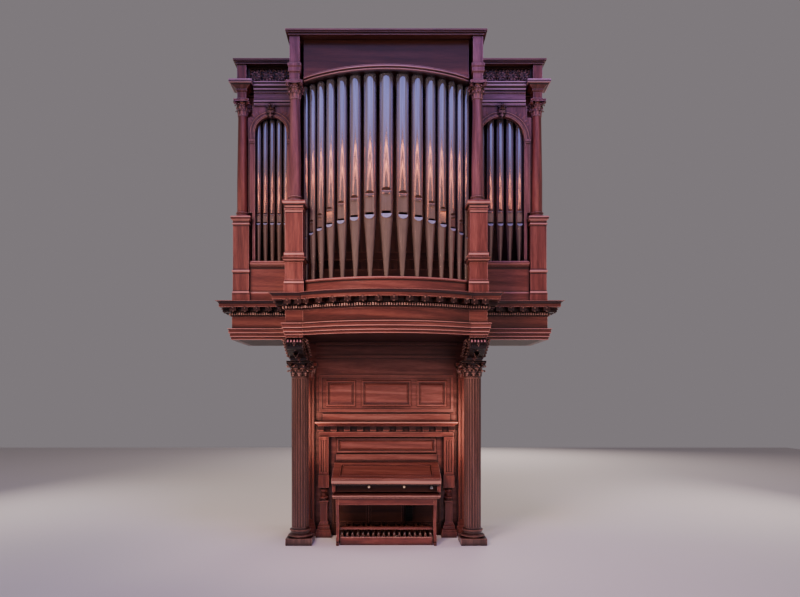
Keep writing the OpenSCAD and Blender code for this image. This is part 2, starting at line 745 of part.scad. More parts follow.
// Shaped end boards on turned-up feet
module bench_ends() {
  x = bench_w2 - bench_over - bench_end_t;
  mid = bench_y + bench_d / 2;
  side = concat(
    [[128, 0], [128, 34]],
    arc(96, 70, 34, -60, 60, 4),
    [[70, 150], [60, 220], [76, 330], [104, 430], [122, 500], [122, bench_h - 34 - seat]]
  );
  mirrored = [for (i = [len(side) - 1:-1:0]) [-side[i][0], side[i][1]]];
  color(oak) place() both() translate([x, mid, 0]) rotate([90, 0, 90]) linear_extrude(bench_end_t)
    polygon(concat(side, mirrored));
}

module bench_rails() {
  w = bench_w2 - bench_over - bench_end_t;
  mid = bench_y + bench_d / 2;
  color(oak) place() {
    slab([-w, bench_y + 30, bench_h - 116], [w, bench_y + 54, bench_h - 34 - seat]);
    slab([-w, bench_y + bench_d - 54, bench_h - 116], [w, bench_y + bench_d - 30, bench_h - 34 - seat]);
    slab([-w, mid - 40, 182], [w, mid + 40, 204]);
  }
}

// A block that juts out over each bracket and carries a slim column
module pier_solid() {
  translate([0, 0, beam_z]) intersection() {
    run_x(beam_profile, bow_half, far, 0, side_y + beam_t);
    run_y(beam_profile, -far, far, pier_out_x, pier_w);
  }
  slab([bow_half, 0, pier_z], [pier_out_x, side_y + beam_t, beam_z]);
}

module pier_blocks() {
  z = beam_z + architrave_h + frieze_h + bed_h;
  inset = (pier_w - block_w) / 2 - 1;
  for (x = [pier_x - inset, pier_x + inset])
    translate([x, 0, z - block_h]) slab([-block_w / 2, -block_out, 0], [block_w / 2, -30, block_h]);
  n = floor((side_y - 240) / block_pitch);
  for (i = [0:n]) translate([pier_out_x, 60 + i * block_pitch, z - block_h])
    slab([30, -block_w / 2, 0], [block_out, block_w / 2, block_h]);
}

module piers() {
  color(oak) place() both() {
    pier_solid();
    pier_blocks();
  }
}

// A ring-shaped moulding of the bow, from its profile and its thickness behind the face
module bow_run_shape(profile, r, t) {
  h = profile[len(profile) - 1][1];
  a = bow_angle + 8;
  translate([0, bow_y, 0]) rotate([0, 0, -90 - a]) rotate_extrude(angle = 2 * a, $fn = 256)
    polygon(concat([[r - t, 0]], [for (p = profile) [r + p[0], p[1]]], [[r - t, h]]));
}

module between(x) {
  slab([-x, -far, -far], [x, bow_y, far]);
}

module bow_beam() {
  z = architrave_h + frieze_h + bed_h;
  n = 2 * floor(bow_angle * bow_r * PI / 180 / block_pitch) - 1;
  end_deg = bow_angle - 3.8;
  step = 2 * end_deg / n;
  color(oak) place() translate([0, 0, beam_z]) {
    intersection() {
      bow_run_shape(beam_profile, bow_r, beam_t);
      between(bow_half);
    }
    for (i = [0:n]) translate([0, bow_y, z - block_h]) rotate([0, 0, -end_deg + i * step])
      slab([-block_w / 2, -bow_r - block_out, 0], [block_w / 2, -bow_r - 29, block_h]);
  }
}

// Beam under a side bay, with its return along the outer end
module side_beam(end_x) {
  z = beam_z + architrave_h + frieze_h + bed_h;
  run = end_x - pier_out_x - cornice_out;
  n = floor(run / block_pitch);
  ny = floor((back_y - side_y - 80) / block_pitch);
  difference() {
    translate([0, 0, beam_z]) difference() {
      intersection() {
        run_x(beam_profile, pier_out_x, far, side_y, back_y - side_y);
        run_y(beam_profile, -far, back_y, end_x, far);
      }
      slab([-far, side_y + beam_t, -1], [end_x - beam_t, back_y + 1, beam_h + 1]);
    }
    pier_solid();
  }
  for (i = [0:n]) translate([end_x - 40 - i * block_pitch, side_y, z - block_h])
    slab([-block_w / 2, -block_out, 0], [block_w / 2, -30, block_h]);
  for (i = [0:ny]) translate([end_x, side_y + 60 + i * block_pitch, z - block_h])
    slab([30, -block_w / 2, 0], [block_out, block_w / 2, block_h]);
}

module side_beam_right() {
  color(oak) place() side_beam(right_end);
}

module side_beam_left() {
  color(oak) place() mirror([1, 0, 0]) side_beam(left_end);
}

// Plan of the upper case within the beams
module upper_plan() {
  difference() {
    union() {
      translate([-left_end + beam_t, side_y + beam_t])
        square([left_end + right_end - 2 * beam_t, back_y - board_t - side_y - beam_t]);
      translate([-bow_half, 0]) square([2 * bow_half, side_y + beam_t + 1]);
      intersection() {
        translate([0, bow_y]) circle(r = bow_r - beam_t - seat, $fn = 256);
        translate([-bow_half, -bow_r]) square([2 * bow_half, bow_r + 1]);
      }
    }
    difference() {
      translate([-bow_half - 1, -far]) square([2 * bow_half + 2, far + bow_y * 0.4]);
      translate([0, bow_y]) circle(r = bow_r - beam_t - seat, $fn = 256);
    }
  }
}

// Boards that close the underside of the beam's hollow
module soffit_boards() {
  color(dark_oak) place() translate([0, 0, beam_z]) linear_extrude(25) upper_plan();
}

module upper_floor() {
  color(dark_oak) place() translate([0, 0, floor_z - 30]) linear_extrude(30) upper_plan();
}

// Curved riser and the plank that the middle pipes stand in
module toe_board() {
  r = bow_r - 22;
  x = pier_x - pedestal_r - 26;
  color(oak) place() translate([0, 0, floor_z]) intersection() {
    union() {
      bow_run_shape([[0, 0], [0, toe_h - 34], [10, toe_h - 28], [10, toe_h - 8], [2, toe_h]], r, 34);
      bow_run_shape([[0, toe_h - 30], [0, toe_h]], r - 30, pipe_setback + 110);
      bow_run_shape([[0, 0], [0, toe_h - 30]], r - pipe_setback - 80, 40);
    }
    between(x);
  }
}

// Outer form of a display pipe: a cone foot, a body, a flat round the mouth and a
// hollow pressed in over the flat
module pipe_form(d, foot, top, grow) {
  r = d / 2 + grow;
  lip = d * 1.17;
  flat = d / 2 * 0.77 + grow;
  hollow_r = d * 0.25;
  difference() {
    turned([[toe_d / 2 + grow, 0], [r, foot - d * 0.42], [r, top]]);
    translate([0, 0, foot]) slab([-d * 0.5, -d, -d * 0.36], [d * 0.5, -flat, lip]);
    translate([-d / 2, -d * 0.38 - hollow_r, foot + lip + d * 0.26]) rotate([0, 90, 0])
      cylinder(r = hollow_r - grow, h = d);
  }
}

// A hollow pipe with its mouth cut through the front
module organ_pipe(d, foot, top) {
  ear = d * 0.31;
  slot = max(15, d * 0.19);
  difference() {
    pipe_form(d, foot, top, 0);
    difference() {
      translate([0, 0, 30]) pipe_form(d, foot - 30, top, -pipe_wall);
      translate([0, 0, foot - slot - 4]) slab([-d, -d, 0], [d, d, 4]);
    }
    translate([0, 0, foot - slot]) slab([-ear, -d, 0], [ear, -d * 0.2, slot]);
  }
}

module middle_pipes() {
  color(pipe_metal) place() for (i = [-pipes_beside:pipes_beside])
    let (k = abs(i), a = sign(i) * bow_deg(k))
      translate([pipe_r0 * sin(a), bow_y - pipe_r0 * cos(a), toe_z])
        rotate([0, 0, a]) organ_pipe(bow_d(k), bow_mouth(k), pipe_top - toe_z);
}

// Straight row of equal pipes in a side bay
module side_row(post_x) {
  share = 0.81;
  pitch = 2 * (bay_clear(post_x) - 4) / (side_pipes - 1 + share);
  d = pitch * share;
  top = side_beam_z - 60 - arch_z;
  for (i = [0:side_pipes - 1])
    translate([(i - (side_pipes - 1) / 2) * pitch, screen_y + d / 2 + 6, arch_z])
      organ_pipe(d, side_foot_h, top);
}

module left_pipes() {
  color(pipe_metal) place() translate([-arch_x, 0, 0]) side_row(post_x_left);
}

module right_pipes() {
  color(pipe_metal) place() translate([arch_x, 0, 0]) side_row(post_x_right);
}

// Chests that feed the pipes, behind and beside them
module windchest() {
  color(dark_oak) place() {
    slab([-chest_w2, chest_y, floor_z], [chest_w2, chest_y + chest_d, floor_z + chest_h]);
    for (s = [[-arch_x, arch_r_left], [arch_x, arch_r_right]])
      slab([s[0] - s[1] - 30, screen_y + 4, arch_z - 60], [s[0] + s[1] + 30, screen_y + 330, arch_z]);
    for (s = [[-arch_x, arch_r_left], [arch_x, arch_r_right]])
      slab([s[0] - s[1] - 30, screen_y + 200, floor_z], [s[0] + s[1] + 30, screen_y + 240, arch_z - 60]);
  }
}

module rack_board() {
  y = chest_y + 100;
  color(dark_oak) place() {
    slab([-chest_w2, y, rack_z], [chest_w2, y + board_t, rack_z + rack_h]);
    both() slab([chest_w2 - 60, y + board_t, floor_z + chest_h], [chest_w2 - 20, y + 2 * board_t, rack_z + rack_h]);
  }
}

// Pedestal of a middle slim column, on the pier
module middle_pedestal() {
  r = pedestal_r;
  h = pedestal_h;
  square_turned([
    [r + 14, 0], [r + 14, 150], [r + 8, 158], [r + 8, 166], [r + 2, 176], [r + 2, 372],
    [r + 12, 380], [r + 12, 392], [r + 32, 410], [r + 36, 424], [r + 14, 434], [r + 14, 480],
    [r + 4, 492], [r, 496], [r, h - 116], [r + 10, h - 108], [r + 10, h - 96], [r + 2, h - 88],
    [r + 2, h - 66], [r + 22, h - 46], [r + 30, h - 30], [r + 30, h - 8], [r + 22, h]
  ]);
}

module middle_pedestals() {
  color(oak) place() both() translate([pier_x, pedestal_y, floor_z]) middle_pedestal();
}

// Slim column with its foot, tapered shaft, capital and block
module slim_column(h, block_h, cap_h, cap_out) {
  r = slim_d / 2;
  neck = slim_neck_d / 2;
  top = h - slim_capital_h;
  column_base(r, slim_base_h);
  turned([[r, slim_base_h], [r, top * 0.36], [neck, top]]);
  translate([0, 0, top]) capital(neck, slim_capital_h, neck + 40);
  translate([0, 0, h]) square_turned([
    [neck + 8, 0], [neck + 8, block_h * 0.14], [neck, block_h * 0.2], [neck, block_h * 0.72],
    [neck + 14, block_h * 0.86], [neck + 14, block_h], [neck + cap_out * 0.6, block_h + cap_h * 0.34],
    [neck + cap_out, block_h + cap_h * 0.6], [neck + cap_out, block_h + cap_h]
  ]);
}

module middle_columns() {
  color(oak) place() both() {
    translate([pier_x, pedestal_y, pedestal_z]) slim_column(slim_h, impost_h, impost_cap_h, 20);
    translate([pier_x, pedestal_y, 0]) slab([-top_post, -top_post, impost_top], [top_post, top_post, roof_z]);
  }
}

// Pedestal of an outer post, in line with the side bay
module outer_pedestal() {
  r = pedestal_r;
  h = pedestal_h;
  square_turned([
    [r + 8, 0], [r + 8, 120], [r + 4, 128], [r + 4, 138], [r, 144], [r, 376], [r + 10, 386],
    [r + 10, 404], [r, 414], [r - 2, 424], [r - 2, h - 112], [r + 8, h - 104], [r + 8, h - 92],
    [r, h - 84], [r, h - 60], [r + 16, h - 44], [r + 24, h - 28], [r + 24, h - 8], [r + 18, h]
  ]);
}

module outer_at(x_left, x_right) {
  translate([-x_left, post_y, 0]) children();
  translate([x_right, post_y, 0]) children();
}

module outer_pedestals() {
  color(oak) place() outer_at(post_x_left, post_x_right) translate([0, 0, floor_z]) outer_pedestal();
}

module outer_columns() {
  block_z = pedestal_z + outer_slim_h;
  cap_h = 90;
  color(oak) place() outer_at(post_x_left, post_x_right) {
    translate([0, 0, pedestal_z]) slim_column(outer_slim_h, carved_z - block_z - cap_h, cap_h, 90);
    slab([-top_post, -top_post, carved_z], [top_post, top_post, roof_z]);
  }
}

// Curved moulding over the middle pipes, with the board above it
module crest_moulding() {
  profile = concat([[0, 0], [0, 12]], arc(4, 20, 8, -90, 60, 3), [[12, crest_h - 28]],
    arc(16, crest_h - 14, 10, -90, 60, 3), [[26, crest_h - 4], [26, crest_h]]);
  x = pier_x - slim_neck_d / 2 - 41;
  color(oak) place() translate([0, 0, crest_z]) {
    intersection() {
      bow_run_shape(profile, bow_r - 96, 40);
      between(x);
    }
    intersection() {
      bow_run_shape([[0, crest_h - 24], [0, crest_h]], bow_r - 100, 500);
      slab([-x, -far, -far], [x, 226, far]);
    }
    slab([-x, 120, crest_h], [x, 160, roof_z - crest_z]);
  }
}

// Room that the outer column takes out of the wall beside it
module post_room(post_x, y) {
  foot_z = pedestal_z + slim_base_h + 4;
  neck_z = pedestal_z + outer_slim_h - slim_capital_h - 4;
  wide = post_x - pedestal_r - post_gap;
  slab([wide, y, arch_z - 1], [post_x, corner_y, foot_z]);
  slab([post_x - slim_d / 2 - 3, y, arch_z - 1], [post_x, corner_y, side_beam_z + 1]);
  slab([wide, y, neck_z], [post_x, corner_y, side_beam_z + 1]);
}

// Panel with a round-headed opening, its moulded rim, imposts and keystone; beyond
// the panel the wall steps back round the outer column
module arch_panel(r, x0, post_x) {
  y = screen_y - 50;
  t = 30;
  spring = arch_top - r;
  impost = arch_top - 300;
  edge = r + arch_rim / 2;
  step_x = post_x - pedestal_r - post_gap;
  difference() {
    union() {
      slab([x0, y, arch_z], [post_x - slim_d / 2 - 3, y + t, side_beam_z]);
      slab([step_x - wall_t, y + t - 1, arch_z], [step_x, corner_y, side_beam_z]);
      slab([step_x - wall_t, corner_y, arch_z], [post_x - wall_t, corner_y + wall_t, side_beam_z]);
      translate([0, y - 16, spring]) rotate([-90, 0, 0]) cylinder(r = r + arch_rim, h = 17);
      translate([0, y - 26, spring]) rotate([-90, 0, 0]) cylinder(r = r + arch_rim * 0.3, h = 27);
      for (s = [-1, 1]) {
        slab([s * edge - arch_rim / 2, y - 16, arch_z], [s * edge + arch_rim / 2, y + 1, spring]);
        slab([s * edge - arch_rim / 2 - 5, y - 30, impost - 34], [s * edge + arch_rim / 2 + 5, y + 1, impost]);
        slab([s * edge - arch_rim / 2 - 10, y - 38, impost - 14], [s * edge + arch_rim / 2 + 10, y + 1, impost + 8]);
      }
    }
    slab([-r, y - 50, arch_z - 1], [r, y + 40, spring]);
    translate([0, y - 50, spring]) rotate([-90, 0, 0]) cylinder(r = r, h = 90);
    post_room(post_x, y - 60);
  }
  translate([0, y + 1, 0]) rotate([90, 0, 0]) linear_extrude(56)
    polygon([[-30, arch_top + 30], [30, arch_top + 30], [44, side_beam_z - seat], [-44, side_beam_z - seat]]);
}

module right_arch() {
  color(oak) place() translate([arch_x, 0, 0])
    arch_panel(arch_r_right, pier_x + wall_t - arch_x, post_x_right - arch_x);
}

module left_arch() {
  color(oak) place() mirror([1, 0, 0]) translate([arch_x, 0, 0])
    arch_panel(arch_r_left, pier_x + wall_t - arch_x, post_x_left - arch_x);
}

// Low panelled fronts under the side arches, with a moulded sill
module dado(end_x) {
  x0 = pier_x + wall_t;
  x1 = end_x - pedestal_r - 10;
  y = side_y + 40;
  sill = [[0, 0], [14, 8], [14, 22], [34, 40], [34, 52], [10, 74], [4, 80]];
  difference() {
    union() {
      slab([x0, y, floor_z], [x1, y + 60, arch_z - 80]);
      translate([0, 0, floor_z]) run_x([[16, 0], [16, 118], [6, 132], [6, 140]], x0, x1, y, 10);
      translate([0, 0, arch_z - 80]) run_x(sill, x0, x1, y, screen_y - y);
    }
    slab([x0 - 1, y - 100, floor_z - 1], [pier_x + pedestal_r + 38, pedestal_y + pedestal_r + 40, arch_z + 1]);
  }
}

module dado_panels() {
  color(oak) place() {
    dado(post_x_right);
    mirror([1, 0, 0]) dado(post_x_left);
  }
}

// Beam over a side arch, stepped back round the outer column
module side_entablature(post_x) {
  y = screen_y - 60;
  d = 90;
  stop = post_x - slim_neck_d / 2 - 91;
  translate([0, 0, side_beam_z]) {
    run_x(side_beam_profile, pier_x + wall_t, stop, y, d);
    slab([stop - wall_t, y + d - 1, 0], [stop, corner_y, side_beam_h]);
    slab([stop - wall_t, corner_y, 0], [post_x - wall_t, corner_y + wall_t, side_beam_h]);
  }
}

module side_entablatures() {
  color(oak) place() {
    side_entablature(post_x_right);
    mirror([1, 0, 0]) side_entablature(post_x_left);
  }
}

// Bands of carved foliage over the side bays, in plain frames
module carved_bands() {
  y = screen_y - 50;
  x0 = pier_x + wall_t;
  rim = 30;
  color(dark_oak) place() for (s = [[-1, post_x_left], [1, post_x_right]]) mirror([s[0] < 0 ? 1 : 0, 0, 0])
    let (x1 = s[1] - top_post - 1) difference() {
      slab([x0, y, carved_z], [x1, y + 40, roof_z]);
      slab([x0 + rim, y - 1, carved_z + rim * 0.8], [x1 - rim, y + 18, roof_z - rim * 0.8]);
    }
}

// Walls between the forward middle and the side bays
module bay_cheeks() {
  color(oak) place() both()
    slab([pier_x - wall_t, pedestal_y + pedestal_r + 45, floor_z], [pier_x + wall_t, screen_y + 30, roof_z]);
}

module upper_sides() {
  rail = 120;
  h = (roof_z - floor_z - 3 * rail) / 2;
  color(oak) place() for (s = [[-1, post_x_left], [1, post_x_right]]) mirror([s[0] < 0 ? 1 : 0, 0, 0])
    difference() {
      slab([s[1] - wall_t, corner_y, floor_z], [s[1] + wall_t, back_y - board_t, roof_z]);
      for (z = [floor_z + rail, floor_z + 2 * rail + h])
        slab([s[1] + 8, corner_y + 80, z], [s[1] + wall_t + 1, back_y - board_t - 80, z + h]);
    }
}

module upper_back() {
  color(dark_oak) place() framed_back(-left_end + beam_t, right_end - beam_t, beam_z, roof_z, 6, 2);
}

// Flat roof whose moulded edge follows the front of the case
module roof() {
  out = 40;
  module plan(grow) {
    edge = top_post + 4 + grow;
    translate([-post_x_left - edge, post_y - edge])
      square([post_x_left + post_x_right + 2 * edge, back_y - post_y + edge]);
    translate([-pier_x - edge, pedestal_y - edge]) square([2 * (pier_x + edge), post_y]);
  }
  color(oak) place() translate([0, 0, roof_z]) {
    linear_extrude(roof_t * 0.4) plan(out * 0.3);
    translate([0, 0, roof_t * 0.4]) linear_extrude(roof_t * 0.25) plan(out * 0.7);
    translate([0, 0, roof_t * 0.65]) linear_extrude(roof_t * 0.35) plan(out);
  }
}

columns();
capitals();
brackets();
responds();
recess_wall();
case_sides();
case_back();
shelf();
shelf_posts();
knee_panel();
desk_cheeks();
key_bed();
keyboards();
stop_jambs();
lid();
pedal_frame();
pedal_keys();
bench_seat();
bench_ends();
bench_rails();
piers();
bow_beam();
side_beam_left();
side_beam_right();
soffit_boards();
upper_floor();
toe_board();
middle_pipes();
left_pipes();
right_pipes();
windchest();
rack_board();
middle_pedestals();
middle_columns();
outer_pedestals();
outer_columns();
crest_moulding();
left_arch();
right_arch();
dado_panels();
side_entablatures();
carved_bands();
bay_cheeks();
upper_sides();
upper_back();
roof();
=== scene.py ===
# A pipe organ with a bowed front, in stained oak with burnished metal pipes.
# Everything is in metres; +Z is up and the player sits on the -Y side.
import json
import math

import bmesh
import bpy
from mathutils import Matrix, Vector


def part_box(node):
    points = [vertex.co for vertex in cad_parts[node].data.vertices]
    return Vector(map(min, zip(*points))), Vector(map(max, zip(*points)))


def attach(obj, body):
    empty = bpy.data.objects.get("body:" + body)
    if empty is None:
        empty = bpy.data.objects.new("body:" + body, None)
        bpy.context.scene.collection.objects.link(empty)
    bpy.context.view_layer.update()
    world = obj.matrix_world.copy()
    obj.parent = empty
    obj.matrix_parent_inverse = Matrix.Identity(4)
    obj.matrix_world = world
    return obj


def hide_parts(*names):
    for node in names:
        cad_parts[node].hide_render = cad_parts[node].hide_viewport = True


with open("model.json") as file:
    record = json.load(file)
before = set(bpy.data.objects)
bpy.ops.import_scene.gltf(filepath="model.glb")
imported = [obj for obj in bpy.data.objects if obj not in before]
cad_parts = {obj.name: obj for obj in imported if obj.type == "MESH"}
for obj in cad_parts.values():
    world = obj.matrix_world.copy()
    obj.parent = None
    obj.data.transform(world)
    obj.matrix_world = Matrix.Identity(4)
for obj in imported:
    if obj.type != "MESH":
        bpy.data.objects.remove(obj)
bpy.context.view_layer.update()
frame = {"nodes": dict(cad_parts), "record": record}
nodes = frame["nodes"]

# Sizes that the solids share with the carved and turned pieces, first those of the beams
CORNICE_OUT = 0.170
COVE_R = 0.038
PIER_W = 0.205
BOW_RISE = 0.270
ARCHITRAVE_H = 0.138
FRIEZE_H = 0.150
BED_H = 0.110
BLOCK_PITCH = 0.148
BLOCK_W = 0.078
BLOCK_H = 0.046

# Columns, capitals and brackets
SHAFT_R = 0.106
CAPITAL_H = 0.196
SLIM_NECK_R = 0.056
SLIM_CAPITAL_H = 0.199
SLIM_H = 1.405
OUTER_SLIM_H = 1.490
BRACKET_H = 0.250
RESPOND_W2 = 0.126
RESPOND_D = 0.060

# Pipes and arches, with the hollow over each mouth in shares of its pipe's diameter
PIPES_BESIDE = 7
PIPE_D = 0.165
PIPE_END_D = 0.072
PIPE_SETBACK = 0.235
FOOT_H = 0.779
MOUTH_FALL = 0.206
HOLLOW_R = 0.25
HOLLOW_OUT = 0.63
HOLLOW_UP = 1.43
SIDE_PIPES = 5
SIDE_FOOT_H = 0.529
ARCH_H = 1.851
ARCH_RIM = 0.064
ARCH_WALL_IN = 0.055
ARCH_R = {"left_arch": 0.205, "right_arch": 0.292}

# Keydesk and pedals
KEY_PITCH = 0.0235
WHITE_KEYS = 36
PEDALS = 18
PEDAL_PITCH = 0.064
PEDAL_TOP = 0.134
SHELF_TOP = 1.492
SHOE_X = 0.300
SHOE_W = 0.100
SHOE_Z = 0.192
SHOE_H = 0.212
LID_SLOPE = 18
LID_LENGTH = 0.490
LID_R = 0.012
FELT_H = 0.020

# Places read from the solids
columns_low, columns_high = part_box("columns")
capitals_low, capitals_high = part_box("capitals")
piers_low, piers_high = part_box("piers")
beam_right_low, beam_right_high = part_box("side_beam_right")
bow_low, bow_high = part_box("bow_beam")
pipes_low, pipes_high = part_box("middle_pipes")
lid_low, lid_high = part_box("lid")
keys_low, keys_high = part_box("keyboards")
slim_low, slim_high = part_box("middle_columns")
outer_low, outer_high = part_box("outer_columns")
bands_low, bands_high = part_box("carved_bands")
small_beam_low, small_beam_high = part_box("side_entablatures")
pedal_keys_low, pedal_keys_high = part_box("pedal_keys")
desk_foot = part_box("desk_cheeks")[0].z
recess_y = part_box("responds")[1].y
seat_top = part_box("bench_seat")[1].z
frame_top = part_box("pedal_frame")[1].z
sill_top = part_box("dado_panels")[1].z
crest_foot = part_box("crest_moulding")[0].z
pedestal_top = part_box("middle_pedestals")[1].z
post_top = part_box("outer_pedestals")[1].z

column_foot = Vector(next(m["pos_m"] for m in frame["record"]["mounts"] if m["name"] == "column_foot"))
middle_x = (columns_low.x + columns_high.x) / 2
column_x = column_foot.x - middle_x
column_y = column_foot.y
beam_z = bow_low.z
frieze_z = beam_z + ARCHITRAVE_H
bed_z = frieze_z + FRIEZE_H
floor_z = bow_high.z
pier_y = piers_low.y + CORNICE_OUT
pier_out = piers_high.x - CORNICE_OUT - middle_x
pier_x = pier_out - PIER_W / 2
bow_half = pier_out - PIER_W
bow_r = (bow_half ** 2 + BOW_RISE ** 2) / (2 * BOW_RISE)
bow_y = pier_y + bow_r - BOW_RISE
bow_angle = math.degrees(math.asin(bow_half / bow_r))
side_y = beam_right_low.y + CORNICE_OUT
side_back_y = beam_right_high.y
left_end = middle_x - (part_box("side_beam_left")[0].x + CORNICE_OUT)
right_end = beam_right_high.x - CORNICE_OUT - middle_x
slim_z = pedestal_top + SLIM_H - SLIM_CAPITAL_H
outer_slim_z = post_top + OUTER_SLIM_H - SLIM_CAPITAL_H


# Small helpers for pieces

def linear(hex_code):
    """An sRGB colour such as "#8a4b38" as linear RGBA."""
    parts = [int(hex_code[i:i + 2], 16) / 255 for i in (1, 3, 5)]
    return [c / 12.92 if c <= 0.04045 else ((c + 0.055) / 1.055) ** 2.4 for c in parts] + [1.0]


def add(tree, kind, inputs=None, **settings):
    """Adds a shader node with its settings; each input is a value or a socket to link from."""
    node = tree.nodes.new("ShaderNode" + kind)
    for name, value in settings.items():
        setattr(node, name, value)
    for name, value in (inputs or {}).items():
        if isinstance(value, bpy.types.NodeSocket):
            tree.links.new(value, node.inputs[name])
        else:
            node.inputs[name].default_value = value
    return node


def moved(x=0.0, y=0.0, z=0.0):
    return Matrix.Translation((x, y, z))


def turned(degrees, axis="Z"):
    return Matrix.Rotation(math.radians(degrees), 4, axis)


def sized(x=1.0, y=1.0, z=1.0):
    return Matrix.Diagonal((x, y, z, 1))


def at(x, y, z, turn=0.0):
    """A place, with x from the organ's middle, whose local -Y looks outwards after a turn in degrees."""
    return moved(middle_x + x, y, z) @ turned(turn)


def on_bow(degrees, out, z):
    """A place on the bowed front, that far out of its face."""
    a = math.radians(degrees)
    return at((bow_r + out) * math.sin(a), bow_y - (bow_r + out) * math.cos(a), z, degrees)


def along(start, end, pitch, z, turn, out=0.0):
    """Evenly spaced places from one (x, y) to another, with half a pitch left at each end."""
    span = math.dist(start, end)
    count = max(1, round(span / pitch))
    away = Vector((math.sin(math.radians(turn)), -math.cos(math.radians(turn)))) * out
    for i in range(count):
        spot = Vector(start).lerp(Vector(end), (i + 0.5) / count) + away
        yield at(spot.x, spot.y, z, turn)


def heights(*groups):
    """Pairs of heights; each group is a base and the spans that are measured from it."""
    return [(base + low, base + high) for base, *spans in groups for low, high in spans]


def shape_of(bm):
    """Keeps a mesh under construction as a shape to stamp."""
    bmesh.ops.recalc_face_normals(bm, faces=bm.faces)
    mesh = bpy.data.meshes.new("shape")
    bm.to_mesh(mesh)
    bm.free()
    return mesh


def stamp(bm, shape, place):
    """Adds a copy of a shape at a place."""
    start = len(bm.verts)
    bm.from_mesh(shape)
    bm.verts.ensure_lookup_table()
    bmesh.ops.transform(bm, matrix=place, verts=bm.verts[start:])


def finished(name, bm, material, body="case"):
    """Turns a mesh under construction into a piece that rides on its body."""
    arris = math.radians(40)
    bmesh.ops.recalc_face_normals(bm, faces=bm.faces)
    mesh = bpy.data.meshes.new(name)
    bm.to_mesh(mesh)
    bm.free()
    mesh.shade_smooth()
    mesh.set_sharp_from_angle(angle=arris)
    mesh.materials.append(material)
    piece = bpy.data.objects.new(name, mesh)
    bpy.context.scene.collection.objects.link(piece)
    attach(piece, body)
    return piece


def stamped(name, shape, places, material):
    """One piece made of a shape at each of many places."""
    bm = bmesh.new()
    for place in places:
        stamp(bm, shape, place)
    return finished(name, bm, material)


# Shapes

def block(width, depth, height, edge=0.0):
    """A block that stands on its place, with eased edges if edge says how far."""
    bm = bmesh.new()
    bmesh.ops.create_cube(bm, size=1, matrix=moved(z=height / 2) @ sized(width, depth, height))
    if edge:
        bmesh.ops.bevel(bm, geom=bm.edges[:], offset=edge, segments=2, profile=0.5, affect="EDGES",
                        material=-1, clamp_overlap=True)
    return shape_of(bm)


def bead(radius):
    bm = bmesh.new()
    bmesh.ops.create_icosphere(bm, subdivisions=2, radius=radius)
    return shape_of(bm)


def lathe(points, steps=20):
    """A turned shape from (radius, height) points, closed where it meets its axis."""
    bm = bmesh.new()
    verts = [bm.verts.new((r, 0, z)) for r, z in points]
    edges = [bm.edges.new(pair) for pair in zip(verts, verts[1:])]
    bmesh.ops.spin(bm, geom=verts + edges, axis=(0, 0, 1), cent=(0, 0, 0), angle=math.tau,
                   steps=steps, use_merge=True)
    bmesh.ops.remove_doubles(bm, verts=bm.verts, dist=1e-5)
    return shape_of(bm)


def acanthus(height, width, out, lobes=4, curl=190):
    """A carved leaf: it rises along Z, leans to -Y and rolls over at its tip. Its edge is
    lobed, its middle rib stands up and its halves bend back."""
    straight = 0.62
    roll = out * 0.42
    notch = 0.40
    rib_up, cup, swell = 0.12, 0.16, 0.08
    bm = bmesh.new()
    bmesh.ops.create_grid(bm, x_segments=8, y_segments=16, size=1)
    for vert in bm.verts:
        u, v = vert.co.x, (vert.co.y + 1) / 2
        lobe = abs(math.sin(math.pi * lobes * v))
        belly = 0.5 + 0.5 * math.sin(math.pi * min(1, v * 1.1) ** 0.8)
        half = width / 2 * belly * (1 - 0.5 * v ** 4)
        x = half * u * (1 - notch * (1 - lobe) * u * u)
        if v < straight:
            t = v / straight
            lean, rise = (out - 2 * roll) * t * t, (height - roll) * t
        else:
            a = math.radians(curl) * (v - straight) / (1 - straight)
            lean = out - 2 * roll + roll * (1 - math.cos(a))
            rise = height - roll + roll * math.sin(a)
        rib = width * (rib_up * (1 - abs(u)) ** 2 - cup * u * u + swell * lobe * abs(u))
        vert.co = (x, -lean - rib, rise)
    bmesh.ops.solidify(bm, geom=bm.faces[:], thickness=max(0.002, width * 0.05))
    return shape_of(bm)


def scroll(radius, turns, bar, depth, fade=0.12):
    """A volute in the XZ plane: a bar that winds in round an eye, with its depth along Y."""
    per_turn = 16
    eye_r = radius * 0.2
    eye_depth = depth * 1.2
    steps = int(turns * per_turn)
    shrink = fade ** (1 / steps)
    step_in = turned(-360 / per_turn, "Y") @ sized(shrink, 1, shrink)
    bm = bmesh.new()
    bmesh.ops.create_grid(bm, x_segments=1, y_segments=1, size=0.5)
    bmesh.ops.transform(bm, verts=bm.verts, matrix=moved(x=radius - bar / 2) @ sized(bar, depth))
    face = bm.faces[:][0]
    for _ in range(steps):
        made = bmesh.ops.extrude_face_region(bm, geom=[face])["geom"]
        verts = [part for part in made if isinstance(part, bmesh.types.BMVert)]
        face = next(part for part in made if isinstance(part, bmesh.types.BMFace))
        bmesh.ops.transform(bm, verts=verts, matrix=step_in)
    bmesh.ops.create_cone(bm, cap_ends=True, segments=16, radius1=eye_r, radius2=eye_r, depth=eye_depth,
                          matrix=turned(90, "X"))
    return shape_of(bm)


# Finishes

MIX_A, MIX_B, MIX_COLOUR = 6, 7, 2
SQUEEZE = 0.07
# The near-black mixed into the oak, for grime in its hollows and for painted shade under the mouldings and
# high up
SMOKE_AND_SHADE = "#150706"


def cells(width):
    """The Scale of a pattern whose cells are that many millimetres wide."""
    return 1000 / width


def new_finish(name):
    """A new material and its nodes."""
    material = bpy.data.materials.new(name)
    material.use_nodes = True
    return material, material.node_tree


def dress(material, solids):
    """Gives a material to each solid that is named."""
    for name in solids:
        nodes[name].data.materials.clear()
        nodes[name].data.materials.append(material)


